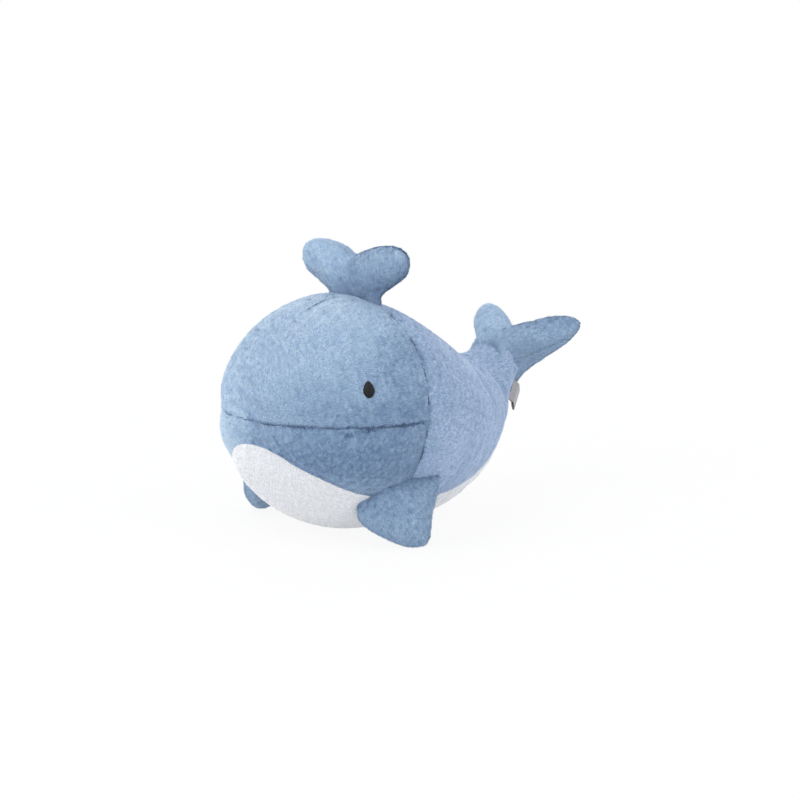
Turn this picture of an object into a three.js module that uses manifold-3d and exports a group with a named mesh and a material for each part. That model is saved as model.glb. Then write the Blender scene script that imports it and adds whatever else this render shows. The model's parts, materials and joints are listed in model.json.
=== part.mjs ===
// A stuffed whale toy of short plush: a plump body on a rounded white belly, a two-lobed spout sewn
// into the crown, a flipper on each side, two-lobed tail flukes and a small folded label.
// Millimetres, +Z up, nose towards -Y, the whale's left towards +X. The pieces are placed from the
// middle of the girth, and the whole toy is then set down on the flat of its belly.
import * as THREE from "three";
import { mergeVertices } from "three/addons/utils/BufferGeometryUtils.js";
import Module from "manifold-3d";

const wasm = await Module();
wasm.setup();

// Cloth
const SKIN = 3; // plush with its pile
const SEWN_HALF_THICK = 5; // of a stuffed piece where it is sewn in
const SEAM_GAP = 0.3; // between two sewn panels, and between a panel and its stuffing
const REST_DEPTH = 0.5; // how far the belly is pressed flat where it rests

// Body: half an ellipsoid for the head, then a stock that narrows along a spine that sags and rises
const HEAD_HALF_WIDTH = 94.5;
const HEAD_HALF_HEIGHT = 88.5;
const HEAD_REACH = 94.5; // girth to nose
const TAIL_REACH = 165; // girth to the middle of the stock's round end
const TAIL_RISE = 18.6;
const TAIL_RADIUS = 23;
const TAIL_TILT = 50; // degrees that the stock's end points above level
const SPINE_BACK = 122; // pull of the spine back from the girth, and how far it sags
const SPINE_SAG = 19;
const SPINE_END = 30; // pull of the spine into the stock's end
const TAPER_POWER = 0.79; // below 1, the body narrows sooner behind the girth
const TILT_POWER = 1.15; // above 1, the stock bends up later

// Seams of the body
const GIRTH_AHEAD = 5; // where the girth seam crosses the middle of the side
const GIRTH_LEAN = 9.5; // degrees that the girth seam leans back at the top
const MOUTH_RISE = 4;
const CHIN_RISE = -14; // top of the white belly below the nose
const CHEEK_BACK = 18.5; // behind the nose, the belly seam beside the chin
const CHEEK_RISE = -32;
const BELLY_AHEAD = 38; // the belly seam where it reaches the flipper
const BELLY_RISE = -51;
const BELLY_ANGLE = 46; // degrees round from the underside to the belly seam behind the girth
const BELLY_TAIL_ANGLE = 48; // and at the stock's end

// Eyes: an oval button on a shank, held by a washer behind the cloth
const EYE_BACK = 47.5; // behind the nose
const EYE_RISE = 31;
const EYE_HALF_WIDTH = 4.6;
const EYE_HALF_HEIGHT = 6.8;
const EYE_DOME = 3.2;
const EYE_SINK = 1.2; // into the pile
const SHANK_RADIUS = 1.6;
const SHANK_END = 2; // beyond the washer
const WASHER_RADIUS = 6;
const WASHER_THICK = 1.4;

// Spout, seen from the front
const SPOUT_BACK = 11; // behind the girth
const SPOUT_NECK = 22; // half the width of the neck
const SPOUT_TIP = 56; // lobe tips to the sides
const SPOUT_TIP_RISE = 27;
const SPOUT_TOP_RISE = 39;
const SPOUT_CLEFT_RISE = 27;
const SPOUT_HALF_THICK = 14;

// Flippers, each in its own plane: chord along the root, span out from it
const FIN_AHEAD = 6;
const FIN_RISE = -45.5;
const FIN_CHORD = 59;
const FIN_SPAN = 42.5;
const FIN_HALF_THICK = 9;
const FIN_DROOP = 84; // degrees below level
const FIN_TOE = 16; // degrees that the front turns in

// Flukes, in their own plane
const FLUKE_TILT = 38; // degrees above level
const FLUKE_TIP = 53; // tips to the sides
const FLUKE_REACH = 57;
const FLUKE_CLEFT = 30;
const FLUKE_HALF_THICK = 12;

// Weight and label
const BAG_RADIUS = 48;
const BAG_HEIGHT = 26;
const LABEL_ALONG = 0.86; // share of the way down the stock
const LABEL_WIDTH = 17;
const LABEL_LENGTH = 20;
const LABEL_PLY = 0.5;
const LABEL_LIFT = 14; // degrees that it stands off the belly

// Mesh counts
const AROUND = 32;
const NOSE_ROWS = 8;
const STOCK_ROWS = 11;
const DOME_ROWS = 3;
const PILLOW_ROWS = 4;

const FAR = 2 * (HEAD_REACH + TAIL_REACH); // beyond the toy on every side
const radians = THREE.MathUtils.degToRad;
const UP = new THREE.Vector3(0, 0, 1);

// Solids

function solidOf(geometry) {
  const bare = new THREE.BufferGeometry();
  bare.setAttribute("position", geometry.getAttribute("position"));
  bare.setIndex(geometry.getIndex());
  const merged = mergeVertices(bare, 1e-4);
  return new wasm.Manifold(
    new wasm.Mesh({
      numProp: 3,
      vertProperties: merged.attributes.position.array,
      triVerts: new Uint32Array(merged.index.array),
    }),
  );
}

function geometryOf(solid) {
  const mesh = solid.getMesh();
  const geometry = new THREE.BufferGeometry();
  geometry.setAttribute("position", new THREE.BufferAttribute(mesh.vertProperties, 3));
  geometry.setIndex(new THREE.BufferAttribute(mesh.triVerts, 1));
  geometry.computeVertexNormals();
  return geometry;
}

function placed(solid, matrix) {
  return solid.transform(matrix.elements);
}

// A closed skin through rings of points; the first and the last ring are single points
function loft(rings) {
  const starts = [];
  let count = 0;
  for (const ring of rings) {
    starts.push(count);
    count += ring.length;
  }
  const index = [];
  for (let r = 0; r + 1 < rings.length; r++) {
    const [near, far] = [rings[r].length, rings[r + 1].length];
    for (let k = 0; k < Math.max(near, far); k++) {
      const a = starts[r] + (k % near);
      const b = starts[r] + ((k + 1) % near);
      const c = starts[r + 1] + (k % far);
      const d = starts[r + 1] + ((k + 1) % far);
      if (near > 1) index.push(a, c, b);
      if (far > 1) index.push(b, c, d);
    }
  }
  const geometry = new THREE.BufferGeometry().setFromPoints(rings.flat());
  geometry.setIndex(index);
  return solidOf(geometry);
}

// Everything inside an outline drawn in side view, right across the toy
function sideRegion(points) {
  const depth = 2 * FAR;
  const geometry = new THREE.ExtrudeGeometry(new THREE.Shape(points), { depth, bevelEnabled: false });
  geometry.translate(0, 0, -depth / 2);
  const axes = new THREE.Matrix4().makeBasis(new THREE.Vector3(0, 1, 0), UP, new THREE.Vector3(1, 0, 0));
  geometry.applyMatrix4(axes);
  return solidOf(geometry);
}

// Body

const tailTilt = radians(TAIL_TILT);
const tailAxis = new THREE.Vector3(0, Math.cos(tailTilt), Math.sin(tailTilt));
const tailEnd = new THREE.Vector3(0, TAIL_REACH, TAIL_RISE);
const spine = new THREE.CubicBezierCurve3(
  new THREE.Vector3(),
  new THREE.Vector3(0, SPINE_BACK, -SPINE_SAG),
  tailEnd.clone().addScaledVector(tailAxis, -SPINE_END),
  tailEnd,
);

// A point on an ellipse round the toy, turned from its underside towards the whale's left
function ringPoint(centre, tilt, halfWidth, halfHeight, turn) {
  const lift = -halfHeight * Math.cos(turn);
  const side = halfWidth * Math.sin(turn);
  return new THREE.Vector3(side, centre.y - Math.sin(tilt) * lift, centre.z + Math.cos(tilt) * lift);
}

function headPoint(ahead, inset, turn) {
  const centre = new THREE.Vector3(0, -(HEAD_REACH - inset) * Math.cos(ahead), 0);
  const share = Math.sin(ahead);
  const [halfWidth, halfHeight] = [HEAD_HALF_WIDTH - inset, HEAD_HALF_HEIGHT - inset];
  return ringPoint(centre, 0, halfWidth * share, halfHeight * share, turn);
}

function stockPoint(along, inset, turn) {
  const share = 0.5 + 0.5 * Math.cos(Math.PI * along ** TAPER_POWER);
  const halfWidth = TAIL_RADIUS + (HEAD_HALF_WIDTH - TAIL_RADIUS) * share - inset;
  const halfHeight = TAIL_RADIUS + (HEAD_HALF_HEIGHT - TAIL_RADIUS) * share - inset;
  return ringPoint(spine.getPoint(along), tailTilt * along ** TILT_POWER, halfWidth, halfHeight, turn);
}

function domePoint(turnUp, inset, turn) {
  const radius = TAIL_RADIUS - inset;
  const centre = tailEnd.clone().addScaledVector(tailAxis, radius * Math.sin(turnUp));
  return ringPoint(centre, tailTilt, radius * Math.cos(turnUp), radius * Math.cos(turnUp), turn);
}

function ringOf(pointAt) {
  return Array.from({ length: AROUND }, (_, k) => pointAt((2 * Math.PI * k) / AROUND));
}

function bodyForm(inset) {
  const rings = [[headPoint(0, inset, 0)]];
  for (let row = 1; row <= NOSE_ROWS; row++) {
    const ahead = (Math.PI / 2) * (row / NOSE_ROWS);
    rings.push(ringOf((turn) => headPoint(ahead, inset, turn)));
  }
  for (let row = 1; row <= STOCK_ROWS; row++) {
    rings.push(ringOf((turn) => stockPoint(row / STOCK_ROWS, inset, turn)));
  }
  for (let row = 1; row < DOME_ROWS; row++) {
    const turnUp = (Math.PI / 2) * (row / DOME_ROWS);
    rings.push(ringOf((turn) => domePoint(turnUp, inset, turn)));
  }
  rings.push([domePoint(Math.PI / 2, inset, 0)]);
  return loft(rings);
}

const rounded = bodyForm(0);
const lowest = rounded.boundingBox().min[2];
const floor = lowest + REST_DEPTH;
const aboveFloor = sideRegion([
  new THREE.Vector2(-FAR, floor),
  new THREE.Vector2(FAR, floor),
  new THREE.Vector2(FAR, FAR),
  new THREE.Vector2(-FAR, FAR),
]);
const flat = rounded.subtract(aboveFloor).boundingBox();
const restMiddle = (flat.min[1] + flat.max[1]) / 2;
const bodySolid = rounded.intersect(aboveFloor);
const bodyReach = bodyForm(-SEAM_GAP); // what keeps clear of the body is cut by this
const skin = bodySolid.subtract(bodyForm(SKIN));
const core = bodyForm(SKIN + SEAM_GAP);

// Seams: each line is drawn in side view, and the panels stop half a gap short of it

function shifted(line, distance) {
  return line.map((point, k) => {
    const before = line[Math.max(k - 1, 0)];
    const after = line[Math.min(k + 1, line.length - 1)];
    const along = after.clone().sub(before).normalize();
    return new THREE.Vector2(point.x - along.y * distance, point.y + along.x * distance);
  });
}

function sideView(point) {
  return new THREE.Vector2(point.y, point.z);
}

const lean = Math.tan(radians(GIRTH_LEAN));
const girthLine = [
  new THREE.Vector2(-GIRTH_AHEAD - lean * FAR, -FAR),
  new THREE.Vector2(-GIRTH_AHEAD + lean * FAR, FAR),
];
const mouthLine = [new THREE.Vector2(-FAR, MOUTH_RISE), new THREE.Vector2(FAR, MOUTH_RISE)];
const chin = sideView(headPoint(Math.acos(Math.sqrt(1 - (CHIN_RISE / HEAD_HALF_HEIGHT) ** 2)), 0, 0));
const bellyStops = [0.1, 0.3, 0.55, 0.8, 1].map((along) => {
  const angle = BELLY_ANGLE + (BELLY_TAIL_ANGLE - BELLY_ANGLE) * along;
  return sideView(stockPoint(along, 0, radians(angle)));
});
const bellyCurve = new THREE.SplineCurve([
  chin,
  new THREE.Vector2(CHEEK_BACK - HEAD_REACH, CHEEK_RISE),
  new THREE.Vector2(-BELLY_AHEAD, BELLY_RISE),
  ...bellyStops,
]);
const bellyLine = [
  new THREE.Vector2(-FAR, CHIN_RISE),
  ...bellyCurve.getSpacedPoints(24),
  sideView(tailAxis).multiplyScalar(FAR).add(sideView(tailEnd)),
];

const halfGap = SEAM_GAP / 2;
const corner = (y, z) => new THREE.Vector2(y * FAR, z * FAR);
const front = sideRegion([...shifted(girthLine, halfGap), corner(-1, 1), corner(-1, -1)]);
const rear = sideRegion([...shifted(girthLine, -halfGap), corner(2, 1), corner(2, -1)]);
const aboveMouth = sideRegion([...shifted(mouthLine, halfGap), corner(1, 1), corner(-1, 1)]);
const belowMouth = sideRegion([...shifted(mouthLine, -halfGap), corner(1, -1), corner(-1, -1)]);
const aboveBelly = sideRegion([...shifted(bellyLine, halfGap), corner(-1, 1)]);
const belowBelly = sideRegion([...shifted(bellyLine, -halfGap), corner(2, -1), corner(-1, -1)]);

// Half of everything, on one side of the toy's middle plane
function sideHalf(side) {
  const half = new THREE.BoxGeometry(FAR, 2 * FAR, 2 * FAR);
  half.translate(side * (FAR / 2 + halfGap), 0, 0);
  return solidOf(half);
}

const whale = new THREE.Group();
whale.position.set(0, -restMiddle, -floor);

function cloth(color) {
  return new THREE.MeshStandardMaterial({ color, roughness: 0.95, metalness: 0 });
}

const blue = cloth(0x9ab9d8);
const white = cloth(0xeceef2);
const fibre = cloth(0xf4f3ee);
const ribbon = cloth(0xa9abad);
const black = new THREE.MeshStandardMaterial({ color: 0x2a2624, roughness: 0.45, metalness: 0 });
const clear = new THREE.MeshStandardMaterial({ color: 0xd9d9d4, roughness: 0.5, metalness: 0 });

function piece(name, solid, material, group) {
  const mesh = new THREE.Mesh(geometryOf(solid), material);
  mesh.name = name;
  group.add(mesh);
  return mesh;
}

// Eyes

function lathe(profile, segments) {
  const points = profile.map(([radius, height]) => new THREE.Vector2(radius, height));
  const geometry = new THREE.LatheGeometry(points, segments);
  geometry.rotateX(Math.PI / 2);
  return geometry;
}

function headSurface(y, z) {
  const share = 1 - (y / HEAD_REACH) ** 2 - (z / HEAD_HALF_HEIGHT) ** 2;
  return new THREE.Vector3(HEAD_HALF_WIDTH * Math.sqrt(share), y, z);
}

const eyePoint = headSurface(EYE_BACK - HEAD_REACH, EYE_RISE);
const eyeNormal = new THREE.Vector3(
  eyePoint.x / HEAD_HALF_WIDTH ** 2,
  eyePoint.y / HEAD_REACH ** 2,
  eyePoint.z / HEAD_HALF_HEIGHT ** 2,
).normalize();
const eyeAcross = UP.clone().cross(eyeNormal).normalize();
const eyeUp = eyeNormal.clone().cross(eyeAcross);
const eyeFrame = new THREE.Matrix4().makeBasis(eyeAcross, eyeUp, eyeNormal).setPosition(eyePoint);

// A round pin of one radius between two heights
function pin(radius, foot, top, segments) {
  return lathe([[0, foot], [radius, foot], [radius, top], [0, top]], segments);
}

const shankDepth = SKIN + SEAM_GAP + WASHER_THICK + SHANK_END;
const dome = lathe([[0, 0], [0.75, 0], [1, 0.25], [0.9, 0.6], [0.55, 0.9], [0, 1]], 16);
dome.scale(EYE_HALF_WIDTH, EYE_HALF_HEIGHT, EYE_DOME);
dome.translate(0, 0, -EYE_SINK);
const shank = pin(SHANK_RADIUS, -shankDepth, SEAM_GAP - EYE_SINK, 12);
const eyeSolid = solidOf(dome).add(solidOf(shank));

const washerTop = -(SKIN + SEAM_GAP);
const washerBore = SHANK_RADIUS + SEAM_GAP;
const washerFoot = washerTop - WASHER_THICK;
const washerSolid = solidOf(
  lathe(
    [
      [washerBore, washerFoot],
      [WASHER_RADIUS, washerFoot],
      [WASHER_RADIUS, washerTop],
      [washerBore, washerTop],
      [washerBore, washerFoot],
    ],
    16,
  ),
);

const eyeBed = pin(1, -EYE_SINK - SEAM_GAP, 2 * EYE_DOME, 16);
eyeBed.scale(EYE_HALF_WIDTH + SEAM_GAP, EYE_HALF_HEIGHT + SEAM_GAP, 1);
const shankHole = pin(washerBore, -2 * shankDepth, 0, 12);
const pocketFoot = -shankDepth - SEAM_GAP;
const pocketRadius = WASHER_RADIUS + SEAM_GAP;
const seatTop = washerTop + SEAM_GAP;
const washerSeat = pin(pocketRadius, pocketFoot, seatTop, 16);
const eyeHole = solidOf(eyeBed).add(solidOf(shankHole)).add(solidOf(washerSeat));
const washerPocket = solidOf(pin(pocketRadius, pocketFoot, 0, 16));

const mirrored = new THREE.Matrix4().makeScale(-1, 1, 1);
const eyeFrames = { left: eyeFrame, right: mirrored.clone().multiply(eyeFrame) };

// Panels, stuffing and weight of the body

let headPanel = skin.intersect(front).intersect(aboveMouth);
let bodyFill = core;
for (const frame of Object.values(eyeFrames)) {
  headPanel = headPanel.subtract(placed(eyeHole, frame));
  bodyFill = bodyFill.subtract(placed(washerPocket, frame));
}

function bagForm(grow) {
  const form = new THREE.SphereGeometry(1, 24, 12);
  form.scale(BAG_RADIUS + grow, BAG_RADIUS + grow, BAG_HEIGHT + grow);
  form.translate(0, restMiddle, floor);
  return solidOf(form);
}

piece("head_panel", headPanel, blue, whale);
piece("jaw_panel", skin.intersect(front).intersect(belowMouth).intersect(aboveBelly), blue, whale);
const sides = skin.intersect(rear).intersect(aboveBelly);
piece("left_side_panel", sides.intersect(sideHalf(1)), blue, whale);
piece("right_side_panel", sides.intersect(sideHalf(-1)), blue, whale);
piece("belly_panel", skin.intersect(belowBelly), white, whale);
piece("body_stuffing", bodyFill.subtract(bagForm(SEAM_GAP)), fibre, whale);
piece("pellet_bag", core.intersect(bagForm(0)), ribbon, whale);

for (const [side, frame] of Object.entries(eyeFrames)) {
  const eye = new THREE.Group();
  eye.applyMatrix4(eyeFrame);
  const half = new THREE.Group();
  half.scale.x = side === "left" ? 1 : -1;
  half.add(eye);
  whale.add(half);
  piece(`${side}_eye`, eyeSolid, black, eye);
  piece(`${side}_eye_washer`, washerSolid, clear, eye);
}

// Sewn flat pieces: two faces joined round a rim and stuffed. An outline lies in the plane of the
// first two axes, the third axis is the thickness. At a point of the plane, swell gives half of the
// thickness and bend how far the piece stands out of the plane.

function pillowRing(rim, middle, share, inset, side, { swell, bend }) {
  return rim.map((point) => {
    const arm = point.clone().sub(middle);
    const place = middle.clone().addScaledVector(arm, share * (1 - inset / arm.length()));
    const height = Math.max(swell(place) - inset, 0) * Math.sqrt(1 - share ** 4);
    return new THREE.Vector3(place.x, place.y, bend(place) + side * (halfGap + height));
  });
}

function pillowFace(rim, middle, inset, side, form) {
  const height = form.bend(middle) + side * (halfGap + form.swell(middle) - inset);
  const rings = [[new THREE.Vector3(middle.x, middle.y, height)]];
  for (let row = 1; row <= PILLOW_ROWS; row++) {
    const share = Math.sin((Math.PI / 2) * (row / PILLOW_ROWS));
    rings.push(pillowRing(rim, middle, share, inset, side, form));
  }
  return rings;
}

function pillowPanel(rim, middle, side, form) {
  const outside = pillowFace(rim, middle, 0, side, form);
  const inside = pillowFace(rim, middle, SKIN, side, form).reverse();
  const rings = [...outside, ...inside];
  return loft(side > 0 ? rings : rings.reverse());
}

function pillowFill(rim, middle, form) {
  const inset = SKIN + 2 * SEAM_GAP;
  const top = pillowFace(rim, middle, inset, 1, form);
  const bottom = pillowFace(rim, middle, inset, -1, form).reverse();
  return loft([...top, ...bottom]);
}

function rimOf(shape, count) {
  return shape.getSpacedPoints(count).slice(0, count);
}

// Adds the two panels and the stuffing of a flat piece, each cut back by what it is sewn to
function addPillow(names, rim, middle, form, frame, cutter, group) {
  const cut = placed(cutter, frame.clone().invert());
  piece(names[0], pillowPanel(rim, middle, 1, form).subtract(cut), blue, group);
  piece(names[1], pillowPanel(rim, middle, -1, form).subtract(cut), blue, group);
  piece(names[2], pillowFill(rim, middle, form).subtract(cut), fibre, group);
}

// The outline of two like lobes: along the base to the neck, out to a lobe's tip, in to the cleft, and
// the same way back on the other side. Each stretch is a curve's two handles and its end.
function twoLobes(neck, baseHandle, toTip, toCleft) {
  const flipped = ([across, up]) => [-across, up];
  const [fromNeck, intoTip, tip] = toTip;
  const [fromTip, intoCleft, cleft] = toCleft;
  const shape = new THREE.Shape();
  shape.moveTo(...flipped(neck));
  shape.quadraticCurveTo(0, baseHandle, ...neck);
  shape.bezierCurveTo(...fromNeck, ...intoTip, ...tip);
  shape.bezierCurveTo(...fromTip, ...intoCleft, ...cleft);
  shape.bezierCurveTo(...flipped(intoCleft), ...flipped(fromTip), ...flipped(tip));
  shape.bezierCurveTo(...flipped(intoTip), ...flipped(fromNeck), ...flipped(neck));
  return shape;
}

function framedGroup(frame, parent) {
  const group = new THREE.Group();
  group.applyMatrix4(frame);
  parent.add(group);
  return group;
}

// Spout

// Height of the top of the toy's middle line at a distance behind the girth
function backHeight(back) {
  if (back <= 0) return headPoint(Math.acos(-back / HEAD_REACH), 0, Math.PI).z;
  let [near, far] = [0, 0.5];
  for (let step = 0; step < 30; step++) {
    const along = (near + far) / 2;
    if (stockPoint(along, 0, Math.PI).y < back) near = along;
    else far = along;
  }
  return stockPoint(near, 0, Math.PI).z;
}

const crown = backHeight(SPOUT_BACK) + SEAM_GAP;
const spoutFrame = new THREE.Matrix4()
  .makeBasis(new THREE.Vector3(1, 0, 0), UP, new THREE.Vector3(0, -1, 0))
  .setPosition(0, SPOUT_BACK, crown);
const neckDrop = (SPOUT_NECK ** 2 * HEAD_HALF_HEIGHT) / (2 * HEAD_HALF_WIDTH ** 2); // of the round crown
const spoutShape = twoLobes(
  [SPOUT_NECK, -neckDrop],
  neckDrop,
  [
    [SPOUT_NECK * 1.14, SPOUT_TIP_RISE * 0.26],
    [SPOUT_TIP, SPOUT_TIP_RISE * 0.44],
    [SPOUT_TIP, SPOUT_TIP_RISE],
  ],
  [
    [SPOUT_TIP, SPOUT_TOP_RISE * 1.15],
    [SPOUT_TIP * 0.4, SPOUT_TOP_RISE * 1.1],
    [0, SPOUT_CLEFT_RISE],
  ],
);
// The neck is sewn in flat, and the lobes swell above it
function spoutSwell(place) {
  const share = THREE.MathUtils.smoothstep(place.y, -neckDrop, SPOUT_CLEFT_RISE * 0.7);
  return SEWN_HALF_THICK + (SPOUT_HALF_THICK - SEWN_HALF_THICK) * share;
}
addPillow(
  ["spout_front_panel", "spout_back_panel", "spout_stuffing"],
  rimOf(spoutShape, 30),
  new THREE.Vector2(0, SPOUT_CLEFT_RISE * 0.6),
  { swell: spoutSwell, bend: () => 0 },
  spoutFrame,
  bodyReach,
  framedGroup(spoutFrame, whale),
);

// Flippers

const finRoot = headSurface(-FIN_AHEAD, FIN_RISE);
const droop = radians(FIN_DROOP);
const finFrame = new THREE.Matrix4()
  .makeBasis(
    new THREE.Vector3(0, -1, 0),
    new THREE.Vector3(Math.cos(droop), 0, -Math.sin(droop)),
    new THREE.Vector3(Math.sin(droop), 0, Math.cos(droop)),
  )
  .premultiply(new THREE.Matrix4().makeRotationZ(-radians(FIN_TOE)))
  .setPosition(finRoot);
const finShape = new THREE.Shape();
finShape.moveTo(-FIN_CHORD * 0.42, 0);
finShape.lineTo(FIN_CHORD / 2, 0);
finShape.splineThru([
  new THREE.Vector2(FIN_CHORD * 0.68, FIN_SPAN * 0.2),
  new THREE.Vector2(FIN_CHORD * 0.64, FIN_SPAN * 0.52),
  new THREE.Vector2(FIN_CHORD * 0.37, FIN_SPAN * 0.8),
  new THREE.Vector2(FIN_CHORD * 0.05, FIN_SPAN),
  new THREE.Vector2(-FIN_CHORD * 0.16, FIN_SPAN * 0.92),
  new THREE.Vector2(-FIN_CHORD * 0.26, FIN_SPAN * 0.5),
  new THREE.Vector2(-FIN_CHORD * 0.42, 0),
]);
// A flipper curves round the body, rather more than the body's own side does
function finBend(place) {
  return (-0.65 * place.x ** 2) / finRoot.x;
}

const finRim = rimOf(finShape, 22);
const finMiddle = new THREE.Vector2(FIN_CHORD * 0.1, FIN_SPAN * 0.48);
for (const side of ["left", "right"]) {
  const half = new THREE.Group();
  half.scale.x = side === "left" ? 1 : -1;
  whale.add(half);
  addPillow(
    [`${side}_fin_outer_panel`, `${side}_fin_inner_panel`, `${side}_fin_stuffing`],
    finRim,
    finMiddle,
    { swell: () => FIN_HALF_THICK, bend: finBend },
    finFrame,
    bodyReach,
    framedGroup(finFrame, half),
  );
}

// Flukes

const flukeTilt = radians(FLUKE_TILT);
const flukeFrame = new THREE.Matrix4()
  .makeBasis(
    new THREE.Vector3(1, 0, 0),
    new THREE.Vector3(0, Math.cos(flukeTilt), Math.sin(flukeTilt)),
    new THREE.Vector3(0, -Math.sin(flukeTilt), Math.cos(flukeTilt)),
  )
  .setPosition(tailEnd);
const flukeShape = twoLobes(
  [TAIL_RADIUS * 0.8, 0],
  0,
  [
    [TAIL_RADIUS * 1.3, FLUKE_REACH * 0.35],
    [FLUKE_TIP, FLUKE_REACH * 0.5],
    [FLUKE_TIP, FLUKE_REACH * 0.86],
  ],
  [
    [FLUKE_TIP, FLUKE_REACH * 1.12],
    [FLUKE_TIP * 0.5, FLUKE_REACH],
    [0, FLUKE_CLEFT],
  ],
);
function flukeSwell(place) {
  const share = THREE.MathUtils.smoothstep(place.y, 0, FLUKE_REACH * 0.7);
  return TAIL_RADIUS + (FLUKE_HALF_THICK - TAIL_RADIUS) * share;
}
const stockEnd = new THREE.SphereGeometry(TAIL_RADIUS + SEAM_GAP, 24, 14);
stockEnd.translate(tailEnd.x, tailEnd.y, tailEnd.z);
addPillow(
  ["fluke_upper_panel", "fluke_lower_panel", "fluke_stuffing"],
  rimOf(flukeShape, 32),
  new THREE.Vector2(0, FLUKE_CLEFT * 0.6),
  { swell: flukeSwell, bend: () => 0 },
  flukeFrame,
  solidOf(stockEnd).add(bodyReach),
  framedGroup(flukeFrame, whale),
);

// Label: a ribbon folded once, its two ends in the left belly seam under the tail

const labelTurn = radians(BELLY_ANGLE + (BELLY_TAIL_ANGLE - BELLY_ANGLE) * LABEL_ALONG);
const labelPoint = stockPoint(LABEL_ALONG, 0, labelTurn);
const labelAlong = stockPoint(LABEL_ALONG + 0.01, 0, labelTurn).sub(labelPoint).normalize();
const labelRound = stockPoint(LABEL_ALONG, 0, labelTurn - 0.01).sub(labelPoint).normalize();
const labelNormal = labelRound.clone().cross(labelAlong).normalize();
const labelOut = labelRound.clone().applyAxisAngle(labelAlong, -radians(LABEL_LIFT)).normalize();
const labelFace = labelAlong.clone().cross(labelOut);
const foldRadius = LABEL_PLY + SEAM_GAP;
const labelFrame = new THREE.Matrix4()
  .makeBasis(labelOut, labelFace, labelAlong.clone())
  .setPosition(labelPoint.clone().addScaledVector(labelNormal, foldRadius + SEAM_GAP));
const labelShape = new THREE.Shape();
const foldStart = LABEL_LENGTH - foldRadius;
labelShape.moveTo(0, -foldRadius);
labelShape.lineTo(foldStart, -foldRadius);
labelShape.absarc(foldStart, 0, foldRadius, -Math.PI / 2, Math.PI / 2, false);
labelShape.lineTo(0, foldRadius);
labelShape.lineTo(0, SEAM_GAP);
labelShape.lineTo(foldStart, SEAM_GAP);
labelShape.absarc(foldStart, 0, SEAM_GAP, Math.PI / 2, -Math.PI / 2, true);
labelShape.lineTo(0, -SEAM_GAP);
const labelGeometry = new THREE.ExtrudeGeometry(labelShape, {
  depth: LABEL_WIDTH,
  bevelEnabled: false,
  curveSegments: 6,
});
labelGeometry.translate(0, 0, -LABEL_WIDTH / 2);
const labelCut = placed(bodyReach, labelFrame.clone().invert());
piece("label", solidOf(labelGeometry).subtract(labelCut), ribbon, framedGroup(labelFrame, whale));

export default whale;
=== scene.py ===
# %% [markdown]
# # A stuffed whale in short plush
#
# The toy is sewn from blue and white plush, a knitted cloth with a soft pile, and filled with fibre. A CAD
# model of its pieces comes in as the frame: it fixes every size and the five places where the toy bends.
# This lesson dresses that frame. Each stuffed part is blown up as cloth, its sewn panels are laid over the
# blown form, and every panel then grows its pile, lock by lock.

import json
import math

import bmesh
import bpy
import numpy as np
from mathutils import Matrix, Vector

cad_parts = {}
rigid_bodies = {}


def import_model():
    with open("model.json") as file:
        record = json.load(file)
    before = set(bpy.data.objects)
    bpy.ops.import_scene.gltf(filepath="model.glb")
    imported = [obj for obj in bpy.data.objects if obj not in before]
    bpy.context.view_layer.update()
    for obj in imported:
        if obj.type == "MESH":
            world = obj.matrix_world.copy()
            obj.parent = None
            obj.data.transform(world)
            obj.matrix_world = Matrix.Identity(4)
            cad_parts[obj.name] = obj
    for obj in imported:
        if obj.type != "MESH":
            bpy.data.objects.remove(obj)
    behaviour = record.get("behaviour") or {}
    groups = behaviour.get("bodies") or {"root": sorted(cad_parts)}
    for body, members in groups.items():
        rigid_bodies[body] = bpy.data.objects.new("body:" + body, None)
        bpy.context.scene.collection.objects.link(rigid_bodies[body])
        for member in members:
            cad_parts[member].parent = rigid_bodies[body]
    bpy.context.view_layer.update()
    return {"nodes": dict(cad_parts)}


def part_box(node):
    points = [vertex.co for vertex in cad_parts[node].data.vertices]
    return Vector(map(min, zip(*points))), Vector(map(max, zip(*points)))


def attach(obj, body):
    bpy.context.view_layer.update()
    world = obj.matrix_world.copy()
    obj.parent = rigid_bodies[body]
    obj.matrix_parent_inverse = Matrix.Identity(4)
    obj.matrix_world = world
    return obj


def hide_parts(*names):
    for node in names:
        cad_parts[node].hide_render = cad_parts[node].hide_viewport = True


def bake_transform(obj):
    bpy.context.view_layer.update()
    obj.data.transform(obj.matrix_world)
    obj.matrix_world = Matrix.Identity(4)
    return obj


MM = 0.001
UP = np.array([0.0, 0.0, 1.0])

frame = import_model()

# %% [markdown]
# ## The view
#
# The photograph looks at the whale's left cheek from a little above, through a long lens. A camera needs
# only a place and a way to look, so both come from two angles round the middle of the girth, which is the
# widest ring of the body. The head is half an ellipsoid in front of that ring, and the frame gives its
# place: the nose is the foremost point of the jaw panel, and the crown is the top of the head panel.

# %% The girth and the camera
HEAD_REACH = 94.5 * MM  # girth to nose
HEAD_HALF_HEIGHT = 88.5 * MM
HEAD_HALF_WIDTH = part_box("left_side_panel")[1].x
nose_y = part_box("jaw_panel")[0].y
crown_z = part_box("head_panel")[1].z
GIRTH = np.array([0.0, nose_y + HEAD_REACH, crown_z - HEAD_HALF_HEIGHT])

VIEW_AZIMUTH, VIEW_ELEVATION = 47, 11  # degrees
VIEW_DISTANCE = 1.5
FRAME_WIDTH = 0.6  # what the frame spans at that distance
AIM_RIGHT, AIM_UP = 41.25 * MM, 6.75 * MM  # of the frame's middle from the girth's
scene = bpy.context.scene


def linked(name, data):
    """A new object at the origin that shows a mesh, a lamp or a camera."""
    made = bpy.data.objects.new(name, data)
    scene.collection.objects.link(made)
    return made


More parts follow.
